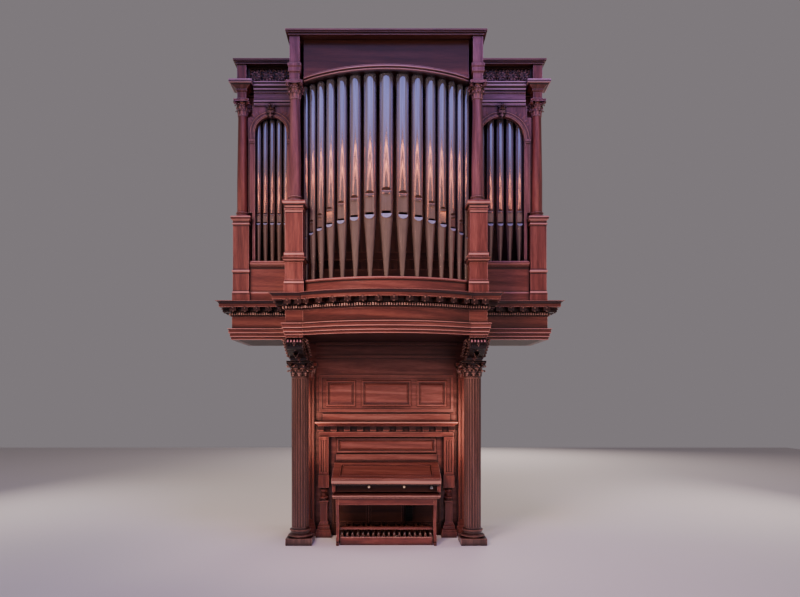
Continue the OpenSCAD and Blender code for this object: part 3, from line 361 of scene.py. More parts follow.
def surface(tree, colour, pattern, rough, relief, bump, constants):
    """Leads a finish to its shader: the colour, a roughness between two values that follows a
    pattern, a relief with its strength and its depth, and what is the same all over."""
    shader = tree.nodes["Principled BSDF"]
    tree.links.new(colour, shader.inputs["Base Color"])
    uneven = add(tree, "MapRange", {"Value": pattern, "To Min": rough[0], "To Max": rough[1]})
    tree.links.new(uneven.outputs[0], shader.inputs["Roughness"])
    raised = add(tree, "Bump", {"Strength": bump[0], "Distance": bump[1], "Height": relief})
    tree.links.new(raised.outputs[0], shader.inputs["Normal"])
    for name, value in constants.items():
        shader.inputs[name].default_value = value


def grain_vector(tree, grain):
    """Object coordinates squeezed along the grain: it runs along an axis, round the bow, or
    along each face of the beams."""
    position = add(tree, "TexCoord").outputs["Object"]
    if grain == "bow":
        parts = add(tree, "SeparateXYZ", {0: position}).outputs
        dx = add(tree, "Math", {0: parts["X"], 1: middle_x}, operation="SUBTRACT").outputs[0]
        dy = add(tree, "Math", {0: bow_y, 1: parts["Y"]}, operation="SUBTRACT").outputs[0]
        turn = add(tree, "Math", {0: dx, 1: dy}, operation="ARCTAN2").outputs[0]
        run = add(tree, "Math", {0: turn, 1: bow_r * SQUEEZE}, operation="MULTIPLY").outputs[0]
        across = add(tree, "CombineXYZ", {"X": dx, "Y": dy}).outputs[0]
        radius = add(tree, "VectorMath", {0: across}, operation="LENGTH").outputs["Value"]
        return add(tree, "CombineXYZ", {"X": run, "Y": radius, "Z": parts["Z"]}).outputs[0]
    scales = {"x": (SQUEEZE, 1, 1), "y": (1, SQUEEZE, 1), "z": (1, 1, SQUEEZE)}
    if grain != "beam":
        return add(tree, "Mapping", {"Vector": position, "Scale": scales[grain]}).outputs[0]
    front = add(tree, "Mapping", {"Vector": position, "Scale": scales["x"]}).outputs[0]
    end = add(tree, "Mapping", {"Vector": position, "Scale": scales["y"]}).outputs[0]
    normal = add(tree, "SeparateXYZ", {0: add(tree, "NewGeometry").outputs["Normal"]})
    sideways = add(tree, "Math", {0: normal.outputs["X"]}, operation="ABSOLUTE").outputs[0]
    is_end = add(tree, "Math", {0: sideways, 1: 0.7}, operation="GREATER_THAN").outputs[0]
    return add(tree, "Mix", {0: is_end, 4: front, 5: end}, data_type="VECTOR").outputs[1]


def stops(ramp, *colours):
    """Sets the colours of a ramp from (place, hex) pairs."""
    elements = ramp.color_ramp.elements
    while len(elements) < len(colours):
        elements.new(0.5)
    for element, (place, colour) in zip(elements, colours):
        element.position = place
        element.color = linear(colour)
    return ramp.outputs["Color"]


def banded(tree, height, share, bands, strength):
    """Raises a share to a strength between each pair of heights."""
    for low, high in bands:
        inside = add(tree, "Math", {0: height, 1: (low + high) / 2, 2: (high - low) / 2},
                     operation="COMPARE")
        part = add(tree, "Math", {0: inside.outputs[0], 1: strength}, operation="MULTIPLY")
        share = add(tree, "Math", {0: share, 1: part.outputs[0]}, operation="MAXIMUM").outputs[0]
    return share


def edge_wear_and_highlight(tree, radius, start, full):
    """How pale each arris is made, where a softened normal leaves the true one: partly wear, partly a
    painted highlight along the edge.
    """
    soft = add(tree, "Bevel", {"Radius": radius}, samples=4).outputs[0]
    true = add(tree, "NewGeometry").outputs["Normal"]
    agree = add(tree, "VectorMath", {0: soft, 1: true}, operation="DOT_PRODUCT").outputs["Value"]
    return add(tree, "MapRange", {"Value": agree, "From Min": start, "From Max": full,
                                            "To Min": 0.0, "To Max": 0.8}).outputs[0]


def nook_grime_and_shade(tree, reach, full, none, most):
    """How dark each hollow is made: some grime, and painted shade where an ambient-occlusion test finds the
    hollow closed in.
    """
    nook = add(tree, "AmbientOcclusion", {"Distance": reach}, samples=6).outputs["AO"]
    return add(tree, "MapRange", {"Value": nook, "From Min": full, "From Max": none,
                                            "To Min": most, "To Max": 0.0}).outputs[0]


def stained_oak(name, tones, grain, *solids, roughness=0.38, coat=0.3, painted_shade_bands=(), painted_highlight_bands=(),
                edge="#a06c61", painted_shade_ramp=None, grime_and_shade_full=0.54):
    """Quarter-sawn oak under a red-brown stain and an old satin varnish: long streaks, open
    pores, grime and painted shade in the quirks of the mouldings, and paler edges, partly
    rubbed and partly a painted highlight. The streaks are drawn 8 mm wide and the rings
    114 mm apart, coarser than real ones, so that they show at the size of the whole organ;
    a wave pattern of Scale 1 repeats every tau / 10 units. Between each pair of heights in
    the shade bands the wood is painted nearly black as the shade under a moulding, between
    those in the highlight bands it is painted pale as an edge that catches the light, and
    the pair of ramp heights gives the heights between which painted shade darkens it little
    by little."""
    material, tree = new_finish(name)
    dark, middle, light = tones
    ring_scale = math.tau / 10 / 0.11424
    vector = grain_vector(tree, grain)
    figure = add(tree, "TexNoise",
                 {"Vector": vector, "Scale": cells(91), "Detail": 3, "Distortion": 0.8}).outputs["Fac"]
    rings = add(tree, "TexWave",
                {"Vector": vector, "Scale": ring_scale, "Distortion": 7, "Detail": 3, "Detail Scale": 1.6},
                wave_type="BANDS", bands_direction="DIAGONAL").outputs["Fac"]
    streaks = add(tree, "TexNoise",
                  {"Vector": vector, "Scale": cells(8), "Detail": 2, "Roughness": 0.6}).outputs["Fac"]
    pores = add(tree, "TexNoise", {"Vector": vector, "Scale": cells(2.4), "Detail": 1}).outputs["Fac"]
    patch = add(tree, "TexNoise", {"Vector": vector, "Scale": cells(588), "Detail": 1}).outputs["Fac"]
    tone = 0.0
    for pattern, share in ((figure, 0.45), (rings, 0.12), (streaks, 0.42)):
        tone = add(tree, "Math", {0: pattern, 1: share, 2: tone}, operation="MULTIPLY_ADD").outputs[0]
    wood = stops(add(tree, "ValToRGB", {"Fac": tone}), (0.26, dark), (0.49, middle), (0.80, light))
    value = add(tree, "MapRange", {"Value": patch, "From Min": 0.3, "From Max": 0.7,
                                             "To Min": 0.86, "To Max": 1.12}).outputs[0]
    varied = add(tree, "HueSaturation", {"Color": wood, "Value": value}).outputs[0]
    position = add(tree, "TexCoord").outputs["Object"]
    height = add(tree, "SeparateXYZ", {0: position}).outputs["Z"]
    highlight_strength = add(tree, "MapRange", {"Value": patch, "From Min": 0.3, "From Max": 0.6,
                                              "To Min": 0.45, "To Max": 0.85}).outputs[0]
    # Painted highlight: the arrises and the pale bands are mixed towards a pale colour, partly as wear and
    # partly as light catching them
    pale = banded(tree, height, edge_wear_and_highlight(tree, 0.009, 0.985, 0.88), painted_highlight_bands, highlight_strength)
    worn = add(tree, "Mix", {0: pale, MIX_A: varied, MIX_B: linear(edge)}, data_type="RGBA")
    # Painted shade: hollows found by ambient occlusion, and the dark bands under mouldings, go nearly black,
    # with some grime
    black = banded(tree, height, nook_grime_and_shade(tree, 0.05, grime_and_shade_full, 0.97, 0.97), painted_shade_bands, 0.88)
    # Painted shade that deepens upwards between the two ramp heights
    if painted_shade_ramp:
        dusk_shade = add(tree, "MapRange", {"Value": height, "From Min": painted_shade_ramp[0], "From Max": painted_shade_ramp[1],
                                                 "To Min": 0.0, "To Max": 0.72}).outputs[0]
        black = add(tree, "Math", {0: black, 1: dusk_shade}, operation="MAXIMUM").outputs[0]
    dirt_and_shade = add(tree, "Mix", {0: black, MIX_A: worn.outputs[MIX_COLOUR], MIX_B: linear(SMOKE_AND_SHADE)},
                data_type="RGBA")
    relief = add(tree, "Math", {0: pores, 1: 0.5, 2: streaks}, operation="MULTIPLY_ADD").outputs[0]
    surface(tree, dirt_and_shade.outputs[MIX_COLOUR], streaks, (roughness - 0.06, roughness + 0.12), relief,
            (0.18, 0.002), {"Coat Weight": coat, "Coat Roughness": 0.16})
    dress(material, solids)
    return material


def carved_oak(*solids):
    """Deeply cut oak, almost black with old stain and wax: the crests of the leaves carry a painted glint,
    and painted shade with some grime fills the hollows."""
    material, tree = new_finish("carved oak, dark stain and wax")
    position = add(tree, "TexCoord").outputs["Object"]
    mottle = add(tree, "TexNoise",
                 {"Vector": position, "Scale": cells(29.4), "Detail": 4}).outputs["Fac"]
    cuts = add(tree, "TexNoise",
               {"Vector": position, "Scale": cells(6.667), "Detail": 2}).outputs["Fac"]
    wood = stops(add(tree, "ValToRGB", {"Fac": mottle}),
                 (0.3, "#090403"), (0.55, "#130a08"), (0.8, "#22120f"))
    worn = add(tree, "Mix", {0: edge_wear_and_highlight(tree, 0.006, 0.96, 0.74), MIX_A: wood,
                                       MIX_B: linear("#946d66")}, data_type="RGBA")
    shaded = add(tree, "Mix", {0: nook_grime_and_shade(tree, 0.03, 0.3, 0.9, 0.9),
                                         MIX_A: worn.outputs[MIX_COLOUR], MIX_B: linear("#060302")},
                 data_type="RGBA")
    surface(tree, shaded.outputs[MIX_COLOUR], mottle, (0.28, 0.45), cuts, (0.3, 0.002),
            {"Specular IOR Level": 0.35, "Coat Weight": 0.2, "Coat Roughness": 0.15})
    dress(material, solids)
    return material


def pipe_metal(*solids):
    """Planed and burnished tin and lead: a soft mirror, a little wavy along the pipe, its colour painted
    cooler at the top and warmer and darker towards the feet as the cool and warm light that it mirrors, with
    painted shade and some tarnish in its hollows."""
    material, tree = new_finish("burnished pipe metal")
    position = add(tree, "TexCoord").outputs["Object"]
    height = add(tree, "SeparateXYZ", {0: position}).outputs["Z"]
    rise = add(tree, "MapRange",
               {"Value": height, "From Min": pipes_low.z, "From Max": pipes_high.z}).outputs[0]
    drawn = add(tree, "Mapping", {"Vector": position, "Scale": (1, 1, 0.12)}).outputs[0]
    clouds = add(tree, "TexNoise", {"Vector": drawn, "Scale": cells(111), "Detail": 2}).outputs["Fac"]
    waves = add(tree, "TexNoise", {"Vector": drawn, "Scale": cells(111), "Detail": 0}).outputs["Fac"]
    shifted = add(tree, "Math", {0: clouds, 1: 0.16, 2: rise}, operation="MULTIPLY_ADD").outputs[0]
    # Painted reflection: a colour that runs from warm and darker below to cool lilac at the top
    metal = stops(add(tree, "ValToRGB", {"Fac": shifted}),
                  (0.05, "#9a8276"), (0.45, "#a0857d"), (0.66, "#a8949a"), (1.0, "#b4afbd"))
    planed = add(tree, "Mapping", {"Vector": position, "Scale": (1, 1, 0.02)}).outputs[0]
    lines = add(tree, "TexNoise", {"Vector": planed, "Scale": cells(12.5), "Detail": 2}).outputs["Fac"]
    value = add(tree, "MapRange", {"Value": lines, "From Min": 0.3, "From Max": 0.7,
                                             "To Min": 0.74, "To Max": 1.14}).outputs[0]
    streaked = add(tree, "HueSaturation", {"Color": metal, "Value": value}).outputs["Color"]
    # Painted shade, with some tarnish, in the hollows found by ambient occlusion
    tarnish_and_shade = add(tree, "Mix", {0: nook_grime_and_shade(tree, 0.05, 0.3, 0.8, 0.7), MIX_A: streaked,
                                       MIX_B: linear("#3a2a28")}, data_type="RGBA")
    surface(tree, tarnish_and_shade.outputs[MIX_COLOUR], clouds, (0.07, 0.11), waves, (0.02, 0.004), {"Metallic": 0.78})
    dress(material, solids)
    return material


def mottled(name, dark, light, roughness, speck, metallic=0.0, coat=0.0):
    """A fine finish for small things, with specks that many millimetres wide."""
    material, tree = new_finish(name)
    position = add(tree, "TexCoord").outputs["Object"]
    mottle = add(tree, "TexNoise",
                 {"Vector": position, "Scale": cells(speck), "Detail": 3}).outputs["Fac"]
    colour = stops(add(tree, "ValToRGB", {"Fac": mottle}), (0.35, dark), (0.65, light))
    surface(tree, colour, mottle, (roughness - 0.05, roughness + 0.08), mottle, (0.1, 0.001),
            {"Metallic": metallic, "Coat Weight": coat})
    return material


# Tones of the stained oak, from its dark streaks to its light ones
OAK = ("#32140f", "#602e28", "#8e5145")
BEAM_OAK = ("#2b110d", "#542823", "#7d473c")
# The upper case's tones are tinted violet as painted cool light from above, over the same red-brown stain
COOL_LIT_UPPER_OAK = ("#31181a", "#60363a", "#8f5a5c")
COOL_LIT_SMALL_BEAM_OAK = ("#2e161a", "#5c3640", "#885f6a")
WALL_OAK = ("#451f1c", "#743f38", "#a06960")
LID_OAK = ("#2f1411", "#60312b", "#965f54")
SEAT_OAK = ("#2c120f", "#5a2d27", "#8c564b")
FLUTED_OAK = ("#261614", "#49312d", "#765751")
DEEP_OAK = ("#2a1613", "#4e2e28", "#7c5146")
WORN_OAK = ("#20120e", "#3a231b", "#5c3d30")
KNEE_OAK = ("#1f0e09", "#351a11", "#4f2b1d")
CEILING_OAK = ("#1a0c0a", "#2a1411", "#3e211c")
CARVED_OAK = ("#1c0b09", "#40201d", "#70403a")
# Painted highlight: pale tones for the dentils, as the light that catches their fronts
DENTIL_OAK = ("#70483f", "#956b61", "#b99086")
BEAD_OAK = ("#54302b", "#7d4d45", "#a8756a")
# Painted highlight: pale tones for the lit middle row of lobes on the brackets' rolls
MARK_OAK = ("#6b3f42", "#8f5d62", "#b58088")

# Arrises, partly wear and partly painted highlight: warm, cooler in the upper case under its painted cool
# light, and brightest where hands and clothes rub the wood
EDGE_WEAR_AND_HIGHLIGHT = "#b37a72"
COOL_EDGE_WEAR_AND_HIGHLIGHT = "#b0878c"
POLISH_AND_HIGHLIGHT = "#c9978a"

# Plain boards and posts: satin red-brown wood; the boards inside the case are given darker tones as painted
# shade, and the ceiling boards, key bed, chest and rack board the darkest, as the deep shade they lie in
oak_x = stained_oak("stained oak, grain across", OAK, "x", "bench_rails", "stop_jambs")
stained_oak("stained oak, grain front to back", OAK, "y", "desk_cheeks")
stained_oak("stained oak, grain upright", OAK, "z", "responds", "case_sides", "shelf_posts", "bench_ends",
            "bay_cheeks", "upper_sides")
stained_oak("darker oak, grain across, painted shade", DEEP_OAK, "x", "upper_floor", "roof")
stained_oak("darker oak, grain upright, painted shade", DEEP_OAK, "z", "case_back", "upper_back")
stained_oak("dark oak ceiling boards, painted shade", CEILING_OAK, "x", "soffit_boards", "key_bed", "windchest",
            "rack_board", roughness=0.5, coat=0.0)

# Beams: each quirk is painted as a black line of shade, with some wax, under a moulding whose lower edge is
# painted pale as a highlight; the bed moulding, the cove and the toe board's lines are painted the same way
QUIRK_W = 0.010
QUIRKS = (0.034, 0.080, 0.130)
beam_shade_and_highlight = {
    "edge": EDGE_WEAR_AND_HIGHLIGHT,
    "painted_shade_bands": heights((beam_z, *[(q - QUIRK_W, q) for q in QUIRKS]), (frieze_z, (0.002, 0.012)),
                     (bed_z, (0.004, BED_H - 0.006)), (floor_z, (-COVE_R, -0.010))),
    "painted_highlight_bands": heights((beam_z, (0.0, 0.006), *[(q, q + QUIRK_W) for q in QUIRKS])),
}
stained_oak("stained oak, bent to the bow", BEAM_OAK, "bow", "bow_beam", **beam_shade_and_highlight)
stained_oak("stained oak beams", BEAM_OAK, "beam", "piers", "side_beam_left", "side_beam_right", **beam_shade_and_highlight)
stained_oak("stained oak toe board", BEAM_OAK, "bow", "toe_board", edge="#93605a",
            painted_shade_bands=heights((floor_z, (0.118, 0.134), (0.004, 0.016))),
            painted_highlight_bands=heights((floor_z, (0.150, 0.162))))

# Upper case: columns, arches and small beams in the same stain painted a cooler, more violet red as the cool
# light from above; pedestals, posts, sills and small beams with quirks painted dark as shade and arrises
# pale as highlights, like the beams', and the crest darkening upwards as painted shade under the roof
stained_oak("stained oak, upper case", COOL_LIT_UPPER_OAK, "z", "middle_columns", "left_arch", "right_arch",
            edge="#b48a84")
stained_oak("stained oak pedestals", OAK, "z", "middle_pedestals", edge=EDGE_WEAR_AND_HIGHLIGHT,
            painted_shade_bands=heights((floor_z, (0.112, 0.123), (0.148, 0.158), (0.378, 0.389), (0.406, 0.420)),
                          (floor_z, (0.482, 0.493)),
                          (pedestal_top, (-0.147, -0.136), (-0.093, -0.080), (-0.058, -0.046))),
            painted_highlight_bands=heights((floor_z, (0.128, 0.146), (0.391, 0.404), (0.455, 0.476)),
                              (pedestal_top, (-0.132, -0.114), (-0.077, -0.060), (-0.040, -0.020))))
stained_oak("stained oak end pedestals", OAK, "z", "outer_pedestals", edge=EDGE_WEAR_AND_HIGHLIGHT,
            painted_shade_bands=heights((floor_z, (0.100, 0.112), (0.144, 0.154), (0.360, 0.374), (0.414, 0.426)),
                          (post_top, (-0.128, -0.114), (-0.082, -0.066), (-0.034, -0.022))),
            painted_highlight_bands=heights((floor_z, (0.118, 0.142), (0.380, 0.410)),
                              (post_top, (-0.108, -0.088), (-0.060, -0.040), (-0.018, 0.001))))
stained_oak("stained oak, outer posts", OAK, "z", "outer_columns", edge=COOL_EDGE_WEAR_AND_HIGHLIGHT,
            painted_shade_bands=heights((bands_low.z, (-0.030, -0.018), (-0.058, -0.046))),
            painted_highlight_bands=heights((bands_low.z, (-0.016, 0.001), (-0.045, -0.032))))
stained_oak("stained oak sills", OAK, "x", "dado_panels", edge=EDGE_WEAR_AND_HIGHLIGHT,
            painted_shade_bands=heights((sill_top, (-0.104, -0.080), (-0.070, -0.060)), (floor_z, (0.140, 0.152))),
            painted_highlight_bands=heights((sill_top, (-0.058, -0.036), (-0.016, 0.001)), (floor_z, (0.118, 0.138))))
stained_oak("stained oak, small beams", COOL_LIT_SMALL_BEAM_OAK, "x", "side_entablatures", edge=COOL_EDGE_WEAR_AND_HIGHLIGHT,
            painted_shade_bands=heights((small_beam_low.z, (0.028, 0.038), (0.060, 0.072)),
                          (small_beam_high.z, (-0.106, -0.090), (-0.072, -0.050), (-0.028, -0.012))),
            painted_highlight_bands=heights((small_beam_low.z, (0.014, 0.028), (0.044, 0.060)),
                              (small_beam_high.z, (-0.088, -0.072), (-0.048, -0.028), (-0.010, 0.001))))
stained_oak("stained oak crest", OAK, "x", "crest_moulding", edge=COOL_EDGE_WEAR_AND_HIGHLIGHT,
            painted_shade_ramp=(crest_foot + 0.06, crest_foot + 0.20),
            painted_shade_bands=heights((crest_foot, (-0.001, 0.007), (0.025, 0.035))),
            painted_highlight_bands=heights((crest_foot, (0.010, 0.024), (0.040, 0.056))))

# Lower case: brown flutes with hollows painted black as shade, with some grime; redder panelling painted
# darker towards its top as shade; a shelf painted dark among its brackets as shade and pale along its top
# edge; and lid, seat and frame edges rubbed by hands and painted pale as highlights
stained_oak("stained oak, fluted", FLUTED_OAK, "z", "columns", grime_and_shade_full=0.70)
stained_oak("stained oak panelling", WALL_OAK, "x", "recess_wall", painted_shade_ramp=(1.70, 2.50), grime_and_shade_full=0.64)
stained_oak("stained oak shelf", OAK, "x", "shelf", edge="#b98377",
            painted_shade_bands=heights((SHELF_TOP, (-0.104, -0.056))), painted_highlight_bands=heights((SHELF_TOP, (-0.016, 0.0))))
stained_oak("stained oak lid, rubbed by hands", LID_OAK, "x", "lid", coat=0.5, edge=POLISH_AND_HIGHLIGHT,
            painted_highlight_bands=heights((lid_low.z, (0.008, 0.040))))
stained_oak("stained oak seat, polished by use", SEAT_OAK, "x", "bench_seat", coat=0.5, edge=POLISH_AND_HIGHLIGHT,
            painted_highlight_bands=heights((seat_top, (-0.009, -0.001))))
# Painted shade: the knee panel's very dark, dull tones stand for the shade under the keydesk
stained_oak("dull oak knee panel", KNEE_OAK, "x", "knee_panel", roughness=0.55, coat=0.0)
stained_oak("stained oak pedal frame", OAK, "x", "pedal_frame", edge="#b07f74",
            painted_highlight_bands=heights((frame_top, (-0.007, 0.001))))
stained_oak("pedal oak worn by shoes", WORN_OAK, "y", "pedal_keys", roughness=0.5, coat=0.0)

# Carved and small turned oak: low relief in the tone of its ground, tips made pale partly by wear and partly
# as a painted highlight, dentils and bracket marks given pale tones as painted highlights, and the spandrel
# relief in the upper case's violet tones of painted cool light
carving = carved_oak("capitals", "brackets", "carved_bands")
carved_red = stained_oak("carved oak, red stain", CARVED_OAK, "z", edge="#98665e", grime_and_shade_full=0.66)
relief_oak = stained_oak("stained oak in low relief", COOL_LIT_UPPER_OAK, "z", edge="#74484a")
dentil_oak = stained_oak("pale oak dentils, painted highlight", DENTIL_OAK, "z", edge="#c8a398")
bead_oak = stained_oak("stained oak beads", BEAD_OAK, "z", edge="#c08f84")
mark_oak = stained_oak("pale oak marks, painted highlight", MARK_OAK, "z", edge="#c9989c")

# Metal, bone and ebony: mirrors, lips painted pale as highlights, hollows painted dark as shade,
# ivory-coloured keys
metal = pipe_metal("middle_pipes", "left_pipes", "right_pipes")
# Painted highlight: the lower lips are paler and more lilac than the pipes, as the cool light from above
# that they catch
pale_metal = mottled("pale lip metal, painted highlight", "#9a97b0", "#b4b1cc", 0.42, 33.3, metallic=0.6)
# Painted shade: a dark, dull metal for the hollows over the mouths
hollow_shade_metal = mottled("dark metal, painted shade in the hollows", "#33231f", "#5c4239", 0.45, 16.7, metallic=0.5)
iron = mottled("blackened iron", "#101211", "#262a29", 0.45, 14.3, metallic=0.7)
nickel = mottled("worn nickel plate", "#9a9a98", "#c4c3bf", 0.25, 25, metallic=1.0)
bone = mottled("bone key plates", "#d8c8a4", "#e9dec4", 0.3, 16.7, coat=0.2)
ebony = mottled("ebony sharps", "#0d0a09", "#1f1916", 0.35, 11.1, coat=0.2)
bare_oak = mottled("bare oak", "#6f6157", "#95877b", 0.5, 8.33)
dress(bone, ["keyboards"])


# Carving and mouldings on the beams

def beam_runs():
    """Straight faces of the beams as start, end and the turn of the face: the piers, their
    sides, the side bays and their ends."""
    yield (bow_half, pier_y), (pier_out, pier_y), 0
    yield (-pier_out, pier_y), (-bow_half, pier_y), 0
    yield (pier_out, pier_y), (pier_out, side_y), 90
    yield (-pier_out, side_y), (-pier_out, pier_y), -90
    yield (pier_out, side_y), (right_end, side_y), 0
    yield (-left_end, side_y), (-pier_out, side_y), 0
    yield (right_end, side_y), (right_end, side_back_y), 90
    yield (-left_end, side_back_y), (-left_end, side_y), -90


def make_dentils():
    """A row of small teeth under the blocks, round the bow and along each straight face."""
    pitch = 0.029
    out = 0.024
    z = bed_z + 0.021
    tooth = block(0.0145, 0.024, 0.028, 0.0015)
    count = round(math.radians(bow_angle) * bow_r / pitch)
    places = [on_bow(bow_angle * i / count, out, z) for i in range(-count + 1, count)]
    for start, end, turn in beam_runs():
        places += along(start, end, pitch, z, turn, out)
    stamped("dentils", tooth, places, dentil_oak)


def make_block_leaves():
    """A small leaf curled over the front of each block under the cornice."""
    leaf = acanthus(0.062, 0.066, 0.026, lobes=3)
    tip = turned(8, "X")
    z = bed_z + BED_H - BLOCK_H - 0.008
    out = CORNICE_OUT - COVE_R - 0.022
    first = 0.060
    last_bow = bow_angle - 3.8
    end_inset = 0.040
    pier_inset = (PIER_W - BLOCK_W) / 2 - 0.001
    pier_blocks = math.floor((side_y - pier_y - 0.240) / BLOCK_PITCH) + 1
    end_blocks = math.floor((side_back_y - side_y - 0.080) / BLOCK_PITCH) + 1
    count = 2 * math.floor(math.radians(bow_angle) * bow_r / BLOCK_PITCH) - 1
    places = [on_bow(-last_bow + 2 * last_bow * i / count, out, z) for i in range(count + 1)]
    for side in (-1, 1):
        end_x = right_end if side > 0 else left_end
        bay_blocks = math.floor((end_x - pier_out - CORNICE_OUT) / BLOCK_PITCH) + 1
        for x in (pier_x - pier_inset, pier_x + pier_inset):
            places.append(at(side * x, pier_y - out, z))
        for i in range(pier_blocks):
            places.append(at(side * (pier_out + out), pier_y + first + i * BLOCK_PITCH, z, side * 90))
        for i in range(bay_blocks):
            places.append(at(side * (end_x - end_inset - i * BLOCK_PITCH), side_y - out, z))
        for i in range(end_blocks):
            places.append(at(side * (end_x + out), side_y + first + i * BLOCK_PITCH, z, side * 90))
    # The near-black carved finish here also stands in for the shade under the cornice
    stamped("block_leaves", leaf, [place @ tip for place in places], carving)


def make_pier_beads():
    """Pearls in the quirk under each pier."""
    z = beam_z - 0.013
    pitch = 0.021
    inset = 0.004
    places = []
    for side in (-1, 1):
        inner, outer = side * (bow_half + inset), side * (pier_out - inset)
        places += along((inner, pier_y), (outer, pier_y), pitch, z, 0, -0.001)
        places += along((outer, pier_y + 0.01), (outer, side_y), pitch, z, side * 90, -0.003)
    stamped("pier_beads", bead(0.0095), places, oak_x)


# Capitals and brackets

def carve_capital(leaf_low, leaf_high, volute, x, y, z, r, h, top_w2):
    """Yields a shape and a place for each leaf and volute of one capital."""
    leaves = 8
    slab_h = h * 0.13
    volute_out = top_w2 * 1.12
    for i in range(leaves):
        turn = i * 360 / leaves
        yield leaf_low, at(x, y, z + 0.010, turn) @ moved(y=-r - 0.003)
        yield leaf_high, at(x, y, z + h * 0.34, turn + 180 / leaves) @ moved(y=-r - 0.005)
    for i in range(4):
        yield volute, at(x, y, z, 45 + 90 * i) @ moved(volute_out, 0, h - slab_h - h * 0.084)


def make_capitals():
    """Two rings of leaves, four volutes and four flowers on each big column."""
    r, h, top_w2 = SHAFT_R, CAPITAL_H, SHAFT_R + 0.044
    shapes = (acanthus(h * 0.40, 0.072, 0.046, 5), acanthus(h * 0.42, 0.078, 0.054, 5),
              scroll(h * 0.15, 2.2, h * 0.045, 0.036))
    petal = acanthus(h * 0.16, 0.034, 0.016, 2)
    eye = bead(0.010)
    flower_z = capitals_high.z - h * 0.065
    bm = bmesh.new()
    for side in (-1, 1):
        for shape, place in carve_capital(*shapes, side * column_x, column_y, capitals_low.z, r, h, top_w2):
            stamp(bm, shape, place)
        for i in range(4):
            flower = at(side * column_x, column_y, flower_z, i * 90) @ moved(y=-top_w2 * 0.87)
            stamp(bm, petal, flower @ moved(z=-h * 0.06))
            stamp(bm, eye, flower @ moved(y=-0.010))
    finished("capital_leaves", bm, carving)


def make_slim_capitals():
    """The same with smaller leaves on the four slim columns of the upper case."""
    r, h, top_w2 = SLIM_NECK_R, SLIM_CAPITAL_H, SLIM_NECK_R + 0.040
    shapes = (acanthus(h * 0.38, 0.042, 0.030, 4), acanthus(h * 0.40, 0.046, 0.036, 4),
              scroll(h * 0.13, 2.0, h * 0.038, 0.028))
    inner_y = (slim_low.y + slim_high.y) / 2
    outer_y = (outer_low.y + outer_high.y) / 2
    cap_out = SLIM_NECK_R + 0.090
    spots = [(pier_x, inner_y, slim_z), (-pier_x, inner_y, slim_z),
             (outer_high.x - cap_out - middle_x, outer_y, outer_slim_z),
             (outer_low.x + cap_out - middle_x, outer_y, outer_slim_z)]
    bm = bmesh.new()
    for x, y, z in spots:
        for shape, place in carve_capital(*shapes, x, y, z, r, h, top_w2):
            stamp(bm, shape, place)
    finished("slim_capital_leaves", bm, carved_red)


def make_respond_capitals():
    """Flat capitals, with two rows of leaves and two volutes, on the responds."""
    top = capitals_high.z
    z = top - CAPITAL_H + 0.010
    y = recess_y - RESPOND_D - 0.004
    leaf = acanthus(CAPITAL_H * 0.52, 0.058, 0.040, 5)
    low_leaf = acanthus(CAPITAL_H * 0.36, 0.056, 0.034, 4)
    volute = scroll(0.030, 2.2, 0.008, 0.024)
    volute_x = RESPOND_W2 + 0.018
    bm = bmesh.new()
    for side in (-1, 1):
        x = side * column_x
        for share in (-0.78, -0.26, 0.26, 0.78):
            stamp(bm, low_leaf, at(x + share * RESPOND_W2, y, z))
        for share in (-1.0, -0.52, 0.0, 0.52, 1.0):
            stamp(bm, leaf, at(x + share * RESPOND_W2, y - 0.003, z + CAPITAL_H * 0.26))
        for end in (-1, 1):
            stamp(bm, volute, at(x + end * volute_x, y - 0.020, top - 0.066) @ sized(end))
    finished("respond_leaves", bm, carving)


